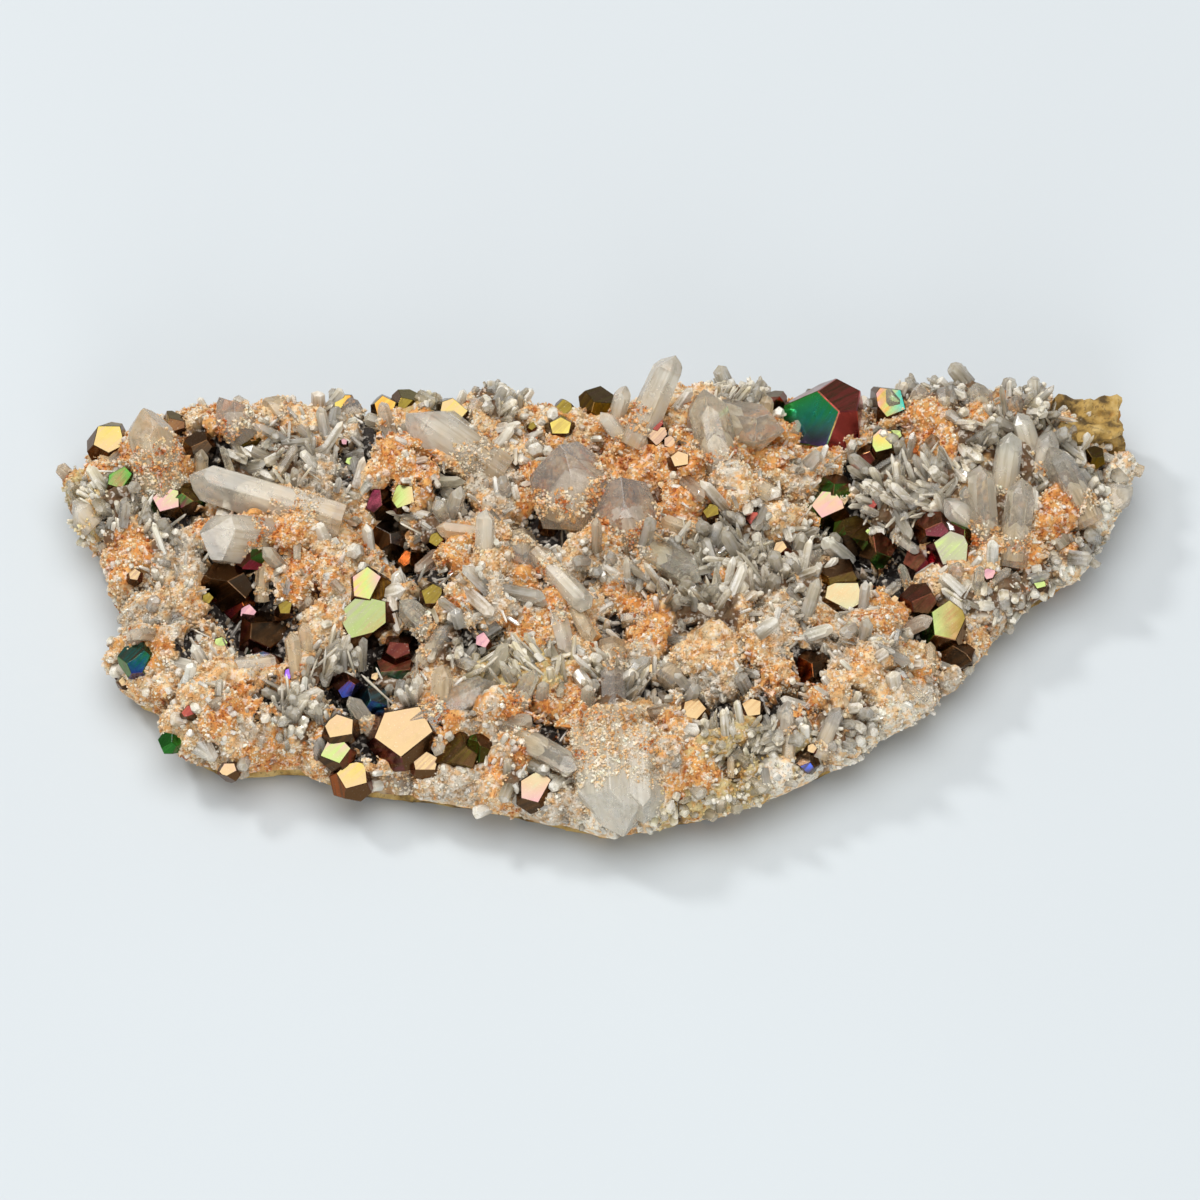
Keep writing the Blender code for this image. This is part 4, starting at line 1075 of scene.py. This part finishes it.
def slab(name, edge, floor, top):
    """A flat plate of that outline, as a mesh object."""
    curve = bpy.data.curves.new(name, "CURVE")
    curve.dimensions = "2D"
    curve.fill_mode = "BOTH"
    curve.extrude = (top - floor) / 2
    line = curve.splines.new("POLY")
    line.points.add(len(edge) - 1)
    for point, (x, y) in zip(line.points, edge):
        point.co = (x, y, 0.0, 1.0)
    line.use_cyclic_u = True
    flat = linked(name + "_outline", curve)
    bpy.context.view_layer.update()
    graph = bpy.context.evaluated_depsgraph_get()
    mesh = bpy.data.meshes.new_from_object(flat.evaluated_get(graph))
    bpy.data.objects.remove(flat)
    weld = bmesh.new()
    weld.from_mesh(mesh)
    bmesh.ops.remove_doubles(weld, verts=weld.verts, dist=0.01 * MM)
    bmesh.ops.translate(weld, verts=weld.verts, vec=(0.0, 0.0, (top + floor) / 2))
    bmesh.ops.recalc_face_normals(weld, faces=weld.faces)
    weld.to_mesh(mesh)
    weld.free()
    return linked(name, mesh)


PYRITE_PROUD = -0.13  # how far a pyrite's middle stands out of the crust, in sizes
PYRITE_FRONT = 0.78  # the nearest face lies in by this, which makes it the largest
PYRITE_DEPTHS = (0.82, 1.10)  # least and most depth of a face, in half sizes
PYRITE_CONTACTS = ((0.58, 0.82),)  # depths of the flat sides upright to it, in half sizes
CONTACT_LARGEST = 11.0 * MM  # a larger crystal has no such side
PYRITE_BOWL = 0.34  # radius within which the ground stays under a pyrite's face, in sizes
PYRITE_RIM = 0.14  # how high the ground may stand there over the pyrite's middle, in sizes
BOWL_SLOPE = 1.7  # of the ground beyond that radius
# Painted shade: the faces other than the nearest are darkened toward brown
SIDE_SHADE_BROWN = 0.3  # how far the faces to the side are brown, whatever their film
PYRITE_CLEAR = (0.14, 0.42)  # radius round its middle that stays in view, least and most, in sizes
PYRITE_EDGE = 0.012  # width of the bevels on its edges, in sizes


def pyrite_spots():
    """Each pyrite's middle, place on the crust and size, for the crystals and the grains."""
    spots = []
    for crystals in PYRITE.values():
        spots += [(pixel, size * MM) for pixel, size, *_ in crystals]
    for grains in PYRITE_GRAINS.values():
        spots += [((x, y), size * PIXEL) for x, y, size in grains]
    return spots


def make_ground():
    """The fine surface of the crust: remeshed, raised as the solid is, then roughened."""
    below = GROUND_BELOW
    ground = remeshed(slab("druse_ground", EDGE, below, RIM_TOP), GROUND_VOXEL)
    points = mesh_points(ground)
    inside = distance_inside(points[:, :2])
    share = np.clip((points[:, 2] - below) / (RIM_TOP - below), 0.0, 1.0)
    top = crust_height(points[:, 0], points[:, 1], inside)
    points[:, 2] = below + share * (top - below)
    set_mesh_points(ground, points)
    kinds = kinds_at(points)
    shaded_cavity = (kinds == KINDS.index("shaded_cavity")) * 1.0
    knobs = domes(points, KNOB_SIZE, KNOB_SEED)[0]
    lumps = domes(points + noise_way(points, 2.0 * MM, 9) * 0.5 * MM, LUMP_SIZE, LUMP_SEED)[0]
    small = noise(points, 0.9 * MM, 7) - 0.5
    rough = KNOB_RELIEF * (knobs - 0.5) + LUMP_RELIEF * (lumps - 0.55)
    rough = rough + SMALL_RELIEF * small - CAVITY_DEPTH * shaded_cavity
    over = np.clip((points[:, 2] - GROUND_FLOOR) / RELIEF_RISE, 0.25, 1.0)
    points += mesh_normals(ground) * (rough * over * MM)[:, None]
    for pixel, size in pyrite_spots():
        middle = on_crust(pixel) - sight_way(pixel) * size * PYRITE_PROUD
        away = np.hypot(points[:, 0] - middle.x, points[:, 1] - middle.y)
        bowl = middle.z + PYRITE_RIM * size
        bowl += BOWL_SLOPE * np.maximum(away - PYRITE_BOWL * size * (0.8 + 0.5 * small), 0.0)
        points[:, 2] = np.minimum(points[:, 2], bowl)
    points[:, 2] = np.maximum(points[:, 2], GROUND_FLOOR)
    set_mesh_points(ground, points)
    base = np.array([linear(GROUND_TINTS[kind]) for kind in KINDS])[kinds]
    # Painted shade: the ground darkens toward the crease colour where the knobs and lumps are low
    crease_shade = np.clip(1.0 - (1.2 * knobs + 0.6 * lumps) / 0.85, 0.0, 1.0)[:, None]
    base = base * (1.0 - crease_shade) + linear(CREASE_SHADE_TINT) * crease_shade * base / base.max()
    # Painted light and shade: the ground is brighter where its small relief stands higher and darker
    # where it dips
    add_colours(ground.data, "tint", np.clip(base * (0.85 + 0.5 * small[:, None]), 0.0, 1.0))
    return ground


def surface_samples(obj, count, draws, lowest):
    """Random places on the mesh and the ways they face, leaving out what faces down."""
    obj.data.calc_loop_triangles()
    triangles = np.empty(len(obj.data.loop_triangles) * 3, np.int32)
    obj.data.loop_triangles.foreach_get("vertices", triangles)
    corners = mesh_points(obj)[triangles.reshape(-1, 3)]
    ways, area = facings(corners)
    area *= (ways[:, 2] > -0.15) * (corners[:, :, 2].mean(1) > lowest)
    chosen = draws.choice(len(area), size=count, p=area / area.sum())
    a, b = draws.uniform(size=(2, count, 1))
    flip = a + b > 1.0
    a, b = np.where(flip, 1.0 - a, a), np.where(flip, 1.0 - b, b)
    corner = corners[chosen]
    places = corner[:, 0] * (1 - a - b) + corner[:, 1] * a + corner[:, 2] * b
    return places, ways[chosen], area.sum() / 2 / MM**2


def shown_at(places, heights):
    """The pixels of each grain's foot, tip and middle."""
    seen, tips = pixels_of(places), pixels_of(places + heights)
    return seen, tips, (seen + tips) / 2


def clear_of_pyrite(places, heights):
    """Whether each grain of that height leaves the pyrite behind it in view."""
    shown = shown_at(places, heights)
    free = np.ones(len(places), bool)
    least, most = PYRITE_CLEAR
    share = least + (most - least) * noise(places, 1.8 * MM, 95)
    for (x, y), size in pyrite_spots():
        reach = (share * size / PIXEL) ** 2
        for at in shown:
            free &= (at[:, 0] - x) ** 2 + (at[:, 1] - y) ** 2 > reach
    return free


def clear_of_quartz(places, heights, foot):
    """Whether each grain leaves the large crystals in view, but for that share at their foot."""
    shown = shown_at(places, heights)
    free = np.ones(len(places), bool)
    for root, tip, thickness, *_ in itertools.chain(*QUARTZ.values()):
        span = np.subtract(tip, root)
        long = np.linalg.norm(span)
        for at in shown:
            offset = at - np.array(root)
            along = offset @ span / long**2
            aside = np.abs(offset[:, 0] * span[1] - offset[:, 1] * span[0]) / long
            taper = np.clip((1.05 - along) * long * PIXEL / (thickness * MM), 0.0, 1.0)
            free &= (along < foot) | (along > 1.0) | (aside > 0.46 * thickness * MM / PIXEL * taper)
    return free


def scattered(ground, each, most, draws, lowest):
    """Places that high over the ground's floor, as dense as each kind of druse asks for."""
    places, ways, area = surface_samples(ground, most, draws, GROUND_FLOOR + lowest)
    kinds = kinds_at(places)
    wanted = np.array([each[kind] for kind in KINDS])[kinds] * area / most
    keep = draws.uniform(size=most) < wanted
    return places[keep], ways[keep], kinds[keep]


def make_grains(ground, coats):
    """The sugary coat, in pieces of one mesh each."""
    draws = np.random.default_rng(11)
    shapes = random.Random(3)
    templates = [grain_solid(shapes) for _ in range(10)]
    places, ways, kinds = scattered(ground, GRAINS_EACH, GRAIN_TRIES, draws, GRAIN_LOWEST)
    free = clear_of_quartz(places, ways * GRAIN_REACH, 0.30)
    places, ways, kinds = picked(free, places, ways, kinds)
    places, ways, kinds = (np.concatenate(both) for both in zip((places, ways, kinds), coats))
    axes = ways + draws.normal(0.0, 0.8, (len(places), 3))
    axes /= np.linalg.norm(axes, axis=1, keepdims=True)
    size = np.clip(draws.lognormal(-0.80, 0.36, len(places)), 0.25, 1.2) * MM
    size *= np.where(kinds == KINDS.index("sugar"), 0.85, 1.0)
    free = clear_of_pyrite(places, axes * size[:, None])
    places, axes, kinds, size = picked(free, places, axes, kinds, size)
    sizes = np.column_stack((size, size, size * draws.uniform(0.8, 1.6, len(size))))
    tints = tints_of(places, kinds, draws)
    finish = druse_material("druse_sugar", 0.28, 0.5, 0.0)
    # Painted shade: each grain darkens toward its foot
    for number, part in enumerate(np.array_split(np.arange(len(places)), GRAIN_PIECES)):
        made = joined_copies(
            f"druse_grains_{number}", templates,
            *picked(part, places, axes, sizes, tints, tints * GRAIN_FOOT_SHADE), draws,
        )
        given(made, finish, "quartz")


def make_prisms(ground, finishes):
    """The small quartz crystals of the druse, the clear ones apart from the cloudy ones."""
    draws = np.random.default_rng(23)
    templates = unit_crystals(18, 3.0, 0.6, random.Random(7))
    places, ways, kinds = scattered(ground, PRISMS_EACH, PRISM_TRIES, draws, PRISM_LOWEST)
    limits = np.array([PRISM_SIZES[kind] for kind in KINDS])[kinds] * MM
    thick = limits[:, 0] + (limits[:, 1] - limits[:, 0]) * draws.uniform(size=len(kinds)) ** 1.7
    tall = limits[:, 2] + (limits[:, 3] - limits[:, 2]) * draws.uniform(size=len(kinds)) ** 1.7
    tall *= np.clip(distance_inside(places[:, :2]) / RIM_CALM, 0.4, 1.0)
    field = noise_way(places, 6.0 * MM, 80)
    axes = ways * 0.7 + field * 1.5 + draws.normal(0.0, 0.20, places.shape) + (0.0, 0.0, 0.30)
    axes /= np.linalg.norm(axes, axis=1, keepdims=True)
    free = clear_of_pyrite(places, axes * tall[:, None])
    free &= clear_of_quartz(places, axes * tall[:, None], 0.15)
    places, axes, kinds, thick, tall = picked(free, places, axes, kinds, thick, tall)
    sizes = np.column_stack((thick, thick * draws.uniform(0.75, 1.0, len(thick)), tall))
    feet = tints_of(places, kinds, draws)
    tints = feet * 0.45 + 0.55 * linear(QUARTZ_TINTS["clear"])
    # Painted shade: each prism darkens toward its foot
    feet = feet * PRISM_FOOT_SHADE
    share = np.array([SEE_THROUGH.get(kind, 0.0) for kind in KINDS])[kinds]
    is_clear = draws.uniform(size=len(kinds)) < share
    for name, chosen in (("glassy", is_clear), ("cloudy", ~is_clear)):
        made = joined_copies(
            f"quartz_prisms_{name}_0", templates,
            *picked(chosen, places, axes, sizes, tints, feet), draws,
        )
        given(made, finishes[name], "quartz")


def make_chunks(ground, finishes):
    """The middling quartz crystals, 1 to 8 mm long, that lie at all angles in the druse."""
    draws = np.random.default_rng(31)
    templates = unit_crystals(16, 2.4, 0.5, random.Random(13), 0.035)
    places, ways, kinds = scattered(ground, CHUNKS_EACH, CHUNK_TRIES, draws, CHUNK_LOWEST)
    thick = draws.uniform(1.2, 2.8, len(kinds)) * MM
    tall = thick * draws.uniform(1.3, 2.9, len(kinds))
    tall *= np.clip(distance_inside(places[:, :2]) / RIM_CALM, 0.6, 1.0)
    axes = ways * 0.7 + draws.normal(0.0, 0.5, places.shape) + (0.0, 0.0, 0.15)
    axes /= np.linalg.norm(axes, axis=1, keepdims=True)
    free = clear_of_pyrite(places, axes * tall[:, None])
    free &= clear_of_quartz(places, axes * tall[:, None], 0.0)
    places, axes, kinds, thick, tall = picked(free, places, axes, kinds, thick, tall)
    sizes = np.column_stack((thick, thick * draws.uniform(0.65, 1.0, len(thick)), tall))
    feet = tints_of(places, kinds, draws)
    tints = feet * 0.25 + 0.75 * linear(QUARTZ_TINTS["clear"])
    # Painted shade: each chunk darkens toward its foot
    feet = feet * PRISM_FOOT_SHADE
    looks = np.array([CHUNK_LOOKS[kind] for kind in KINDS])[kinds]
    for look in sorted(set(looks)):
        made = joined_copies(
            f"quartz_chunks_{look}", templates,
            *picked(looks == look, places, axes, sizes, tints, feet), draws,
        )
        given(made, finishes[look], "quartz")


def set_in_crust(root_pixel, tip_pixel, thickness, rise):
    """Root and tip of a large crystal whose root is sunk in the crust."""
    surface = on_crust(root_pixel)
    root = seen_at(root_pixel, surface.z - QUARTZ_SINK * thickness)
    return root, seen_at(tip_pixel, surface.z + rise)


def set_crystal(points, triangles, root, turn, colours, along):
    """A crystal's arrays for joined(), its colour running from the first to the second."""
    foot, tint = colours
    placed = points @ turn.T + np.array(root)
    own = points + np.array(root) * QUARTZ_SPREAD
    return placed, triangles, np.clip(foot * (1.0 - along) + tint * along, 0.0, 1.0), own


def make_large_quartz(finishes, draws_for_coat):
    """The larger quartz crystals, one mesh for each finish, and the places of the coat on them."""
    coats, cores = [], []
    for look, crystals in QUARTZ.items():
        draws = random.Random(look)
        parts = []
        for root_pixel, tip_pixel, thickness, rise, *coat in crystals:
            thickness *= MM
            root, tip = set_in_crust(root_pixel, tip_pixel, thickness, rise * MM)
            axis = tip - root
            buried = QUARTZ_ROOT * axis.length
            points, triangles = quartz_solid(
                thickness, axis.length, buried, draws, 0.014 * thickness,
            )
            turn = np.array(axis.to_track_quat("Z", "Y").to_matrix())
            tint = linear(QUARTZ_TINTS[look]) * draws.uniform(0.9, 1.08)
            colours = (linear(TINTS["cream"][1]), tint)
            along = np.clip(points[:, 2:] / axis.length * 1.6, 0.0, 1.0)
            part = set_crystal(points, triangles, root, turn, colours, along)
            coats.append(coat_samples(part[0], triangles, root, axis, coat, draws_for_coat))
            cores.append((root, turn, thickness, axis.length, buried, look))
            parts.append(part)
        given(mesh_object(f"quartz_large_{look}", *joined(parts)), finishes[look], "quartz")
    make_cores(cores, finishes["core"])
    places, ways = (np.concatenate([coat[k] for coat in coats]) for k in (0, 1))
    kinds = kinds_at(places)
    kinds[np.isin(kinds, [KINDS.index("clear"), KINDS.index("shaded_cavity")])] = KINDS.index("cream")
    return places, ways, kinds


def make_cores(cores, finish):
    """The milky lower body inside each large crystal, which its clear point grows out of."""
    draws = random.Random(43)
    parts = []
    for root, turn, thickness, length, buried, look in cores:
        tall = length * draws.uniform(*CORE_SHARES[look])
        points, triangles = quartz_solid(
            thickness * CORE_WIDTH, tall, buried * CORE_WIDTH, draws, 0.03 * thickness,
        )
        along = np.clip(points[:, 2:] / tall, 0.0, 1.0)
        colours = (linear(TINTS["cream"][2]), linear(QUARTZ_TINTS[look]))
        parts.append(set_crystal(points, triangles, root, turn, colours, along))
    given(mesh_object("quartz_cores", *joined(parts)), finish, "quartz")


def coat_samples(points, triangles, root, axis, coat, draws):
    """Places and ways of the sugary coat on the lower part of one large crystal."""
    corners = points[triangles]
    ways, area = facings(corners)
    count = int(area.sum() / 2 / MM**2 * COAT_EACH)
    chosen = draws.choice(len(area), size=count, p=area / area.sum())
    mix = draws.dirichlet((1.0, 1.0, 1.0), count)[:, :, None]
    places = (corners[chosen] * mix).sum(1)
    share = (places - np.array(root)) @ np.array(axis) / axis.length_squared
    reach = coat[0] if coat else COAT_REACH
    ragged = reach * 0.85 + 0.36 * (noise(places, 1.8 * MM, 31) - 0.5)
    start = COAT_START if reach < COAT_THICK else -QUARTZ_ROOT
    keep = (share < ragged) & (share > start)
    return places[keep], ways[chosen][keep]


# Pyrite


PLAIN_SECOND = (0.72, 0.66, 0.8)  # the stripes' colour on a film of one colour, by that colour


def pyritohedron_faces():
    """The twelve face directions of a pyritohedron: (0, 1, 2) and its cyclic turns."""
    faces = []
    for a in (1, -1):
        for b in (2, -2):
            faces += [Vector((0, a, b)), Vector((a, b, 0)), Vector((b, 0, a))]
    return [face.normalized() for face in faces]


def pyrite_turn(lie):
    """The rotation that lays a crystal's (0, 1, 2) face as its row says."""
    right, above, spin = (math.radians(angle) for angle in lie)
    facing = -FORWARD * math.cos(right) * math.cos(above) + UP * math.sin(above)
    facing = (facing + RIGHT * math.sin(right) * math.cos(above)).normalized()
    level = (Vector((0, 1, 2)).normalized()).rotation_difference(facing).to_matrix()
    return Matrix.Rotation(spin, 3, facing) @ level


def film_colours(film, shares):
    """The two film colours at each share across a face, from its list of colours."""
    names = film.split(":")[-1].split(">")
    colours = np.array([FILM[name] for name in names])
    at = np.clip(shares, 0.0, 1.0) * (len(names) - 1)
    low = np.minimum(at.astype(int), len(names) - 1)
    high = np.minimum(low + 1, len(names) - 1)
    part = (at - low)[:, None]
    first = colours[low] * (1 - part) + colours[high] * part
    second = colours[high] if len(names) > 1 else colours[low] * PLAIN_SECOND
    return first, second


def face_films(way, films):
    """Which of the five films a face takes, by the way it looks in the photograph; those turned up,
    aside and down take darker films, as painted shade.
    """
    front, right, up = way.dot(-FORWARD), way.dot(RIGHT), way.dot(UP)
    best = max((up, 1), (-right, 2), (right, 3), (-up, 4))
    return films[min(best[1], len(films) - 1)] if front < 0.999 else films[0]


def pyrite_arrays(key, pixel, size, lie, look):
    """Points, triangles, colours and own places of one pyrite crystal."""
    shape = bmesh.new()
    bmesh.ops.create_cube(shape, size=size * 2)
    shapes = random.Random(key)
    faces = pyritohedron_faces()
    depths = [shapes.uniform(*PYRITE_DEPTHS) for _ in faces]
    depths[0] = PYRITE_FRONT
    sideways = (Vector((1.0, 0.0, 0.0)), faces[0].cross(Vector((1.0, 0.0, 0.0))))
    for least, most in PYRITE_CONTACTS if size < CONTACT_LARGEST else ():
        turn = shapes.uniform(0.0, 2 * math.pi)
        faces.append(sideways[0] * math.cos(turn) + sideways[1] * math.sin(turn))
        depths.append(shapes.uniform(least, most))
    for face, share in zip(faces, depths):
        cut_by(shape, face, size / 2 * share)
    bmesh.ops.recalc_face_normals(shape, faces=shape.faces)
    bmesh.ops.bevel(
        shape, geom=shape.edges[:], offset=PYRITE_EDGE * size, segments=1, affect="EDGES",
        clamp_overlap=True,
    )
    turn = pyrite_turn(lie)
    place = on_crust(pixel) - sight_way(pixel) * size * PYRITE_PROUD
    films = look.split("|")
    nearest = max(pyritohedron_faces(), key=lambda face: (turn @ face).dot(-FORWARD))
    parts = []
    for face in shape.faces:
        way = turn @ face.normal
        # The nearest face takes the first film, and the others take darker films by which way they
        # turn, as painted shade
        film = films[0] if face.normal.dot(nearest) > 0.98 else face_films(way, films)
        corners = np.array([turn @ vertex.co for vertex in face.verts])
        corners = np.vstack((corners, corners.mean(0)))
        across = np.array(RIGHT) if film.startswith("h:") else -np.array(UP)
        level = corners @ across
        shares = (level - level.min()) / max(level.max() - level.min(), 1e-9)
        tint, second = film_colours(film, shares)
        # Painted shade: faces other than the nearest are darkened toward brown, unless their film
        # runs through several colours
        if film != films[0]:
            brown = np.tile(FILM["brown"], (len(tint), 1))
            share = 0.0 if ">" in film else SIDE_SHADE_BROWN
            second = second if ">" in film else brown
            tint = tint * (1.0 - share) + brown * share
        count = len(face.verts)
        fan = np.array([(side, (side + 1) % count, count) for side in range(count)])
        aside = way.orthogonal()
        flat = np.array(Matrix((aside.normalized(), way.cross(aside).normalized(), way)))
        own = corners @ flat.T + np.array(place) * PYRITE_SPREAD
        parts.append((corners + np.array(place), fan, tint, second, own))
    shape.free()
    return joined(parts)


def pyrite_piece(name, crystals, finish, *nodes):
    """One piece made of these crystals."""
    points, triangles, tints, seconds, local = joined([pyrite_arrays(*row) for row in crystals])
    made = mesh_object(name, points, triangles, tints, local)
    add_colours(made.data, "second", seconds)
    return given(made, finish, "pyrite", *nodes)


def make_pyrite():
    """A piece for each pyrite node, and one of all the grains."""
    finish = pyrite_material()
    for name, crystals in PYRITE.items():
        rows = [
            (f"{name}{number}", pixel, size * MM, lie, look)
            for number, (pixel, size, lie, look) in enumerate(crystals)
        ]
        pyrite_piece(name.replace("pyrite_", "film_"), rows, finish, name)
    draws = random.Random(17)
    rows = []
    for film, grains in PYRITE_GRAINS.items():
        for x, y, size in grains:
            lie = (draws.uniform(-8, 8), 18 + draws.uniform(-6, 6), draws.uniform(0, 72))
            # The grain's other faces take darker films, as painted shade
            look = f"{film}|olive|brown|maroon|black"
            rows.append((f"{film}{x}", (x, y), size * PIXEL, lie, look))
    pyrite_piece("film_grains", rows, finish)


ROCK_VOXEL = 1.0 * MM


def make_rock():
    """The host rock: the solid's own form, remeshed and roughened."""
    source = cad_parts["matrix_rock"]
    rock = linked("host_rock", source.data.copy())
    remeshed(rock, ROCK_VOXEL)
    points = mesh_points(rock)
    corner = np.clip((points[:, 2] - ROCK_TOP) / (1.5 * MM), 0.0, 1.0)
    rough = (noise(points, 3.0 * MM, 21) - 0.5) * (1.3 + 2.4 * corner)
    rough += (noise(points, 1.3 * MM, 22) - 0.5) * (0.9 + 0.9 * corner)
    lift = np.clip((points[:, 2] - 0.6 * MM) / (1.5 * MM), 0.0, 1.0)
    points += mesh_normals(rock) * (rough * lift * MM)[:, None]
    points[:, 2] = np.maximum(points[:, 2], 0.0)
    set_mesh_points(rock, points)
    rock.data.shade_flat()
    given(rock, rock_material(), "matrix_rock", "matrix_rock")


# The stage


def area_light(name, place, size, radiance):
    """A disc light of that radiance at a place, facing the plate."""
    data = bpy.data.lights.new(name, "AREA")
    data.shape = "DISK"
    data.size = size
    data.energy = radiance * math.pi * math.pi * (size / 2) ** 2
    made = linked(name, data)
    made.location = place
    made.rotation_euler = (-Vector(place)).to_track_quat("-Z", "Y").to_euler()


def make_stage():
    """The photograph's camera, the lights, the sky and the pale floor."""
    scene = bpy.context.scene
    camera = linked("camera", bpy.data.cameras.new("camera"))
    camera.location = EYE
    camera.rotation_euler = FORWARD.to_track_quat("-Z", "Y").to_euler()
    camera.data.sensor_width = SENSOR
    camera.data.lens = SENSOR * VIEW_DISTANCE / (2 * PHOTO_MIDDLE * PIXEL)
    camera.data.clip_end = 10.0
    scene.camera = camera

    for name, (place, size, radiance) in LIGHTS.items():
        area_light(name, place, size, radiance)

    world = bpy.data.worlds.new("studio")
    scene.world = world
    world.use_nodes = True
    background = world.node_tree.nodes["Background"]
    background.inputs["Color"].default_value = SKY_COLOUR
    background.inputs["Strength"].default_value = SKY_STRENGTH

    floor = linked("floor", bpy.data.meshes.new("floor"))
    plane = bmesh.new()
    bmesh.ops.create_grid(plane, x_segments=1, y_segments=1, size=FLOOR_SIZE)
    plane.to_mesh(floor.data)
    plane.free()
    made, tree, shader = shader_of("pale_floor", {"Roughness": 0.9, "Specular IOR Level": 0.1})
    place = node(tree, "ShaderNodeNewGeometry").outputs["Position"]
    stops = [(at, tuple(linear(tint))) for at, tint in zip((0.3, 0.7), FLOOR_TINTS)]
    pale = ramp(tree, texture(tree, place, 3.0), stops)
    tree.links.new(pale, shader.inputs["Base Color"])
    floor.data.materials.append(made)

    scene.view_settings.view_transform = "Standard"
    scene.view_settings.look = "None"


def main():
    """Builds the stage, then every piece of the specimen."""
    make_stage()
    finishes = {
        look: crystal_material(f"quartz_{look}", *values)
        for look, values in QUARTZ_FINISHES.items()
    }
    ground = make_ground()
    coats = make_large_quartz(finishes, np.random.default_rng(5))
    make_grains(ground, coats)
    make_prisms(ground, finishes)
    make_chunks(ground, finishes)
    given(ground, druse_material("druse_ground", 0.55, 0.6, 0.7), "quartz", "quartz_crust")
    make_pyrite()
    make_rock()


main()
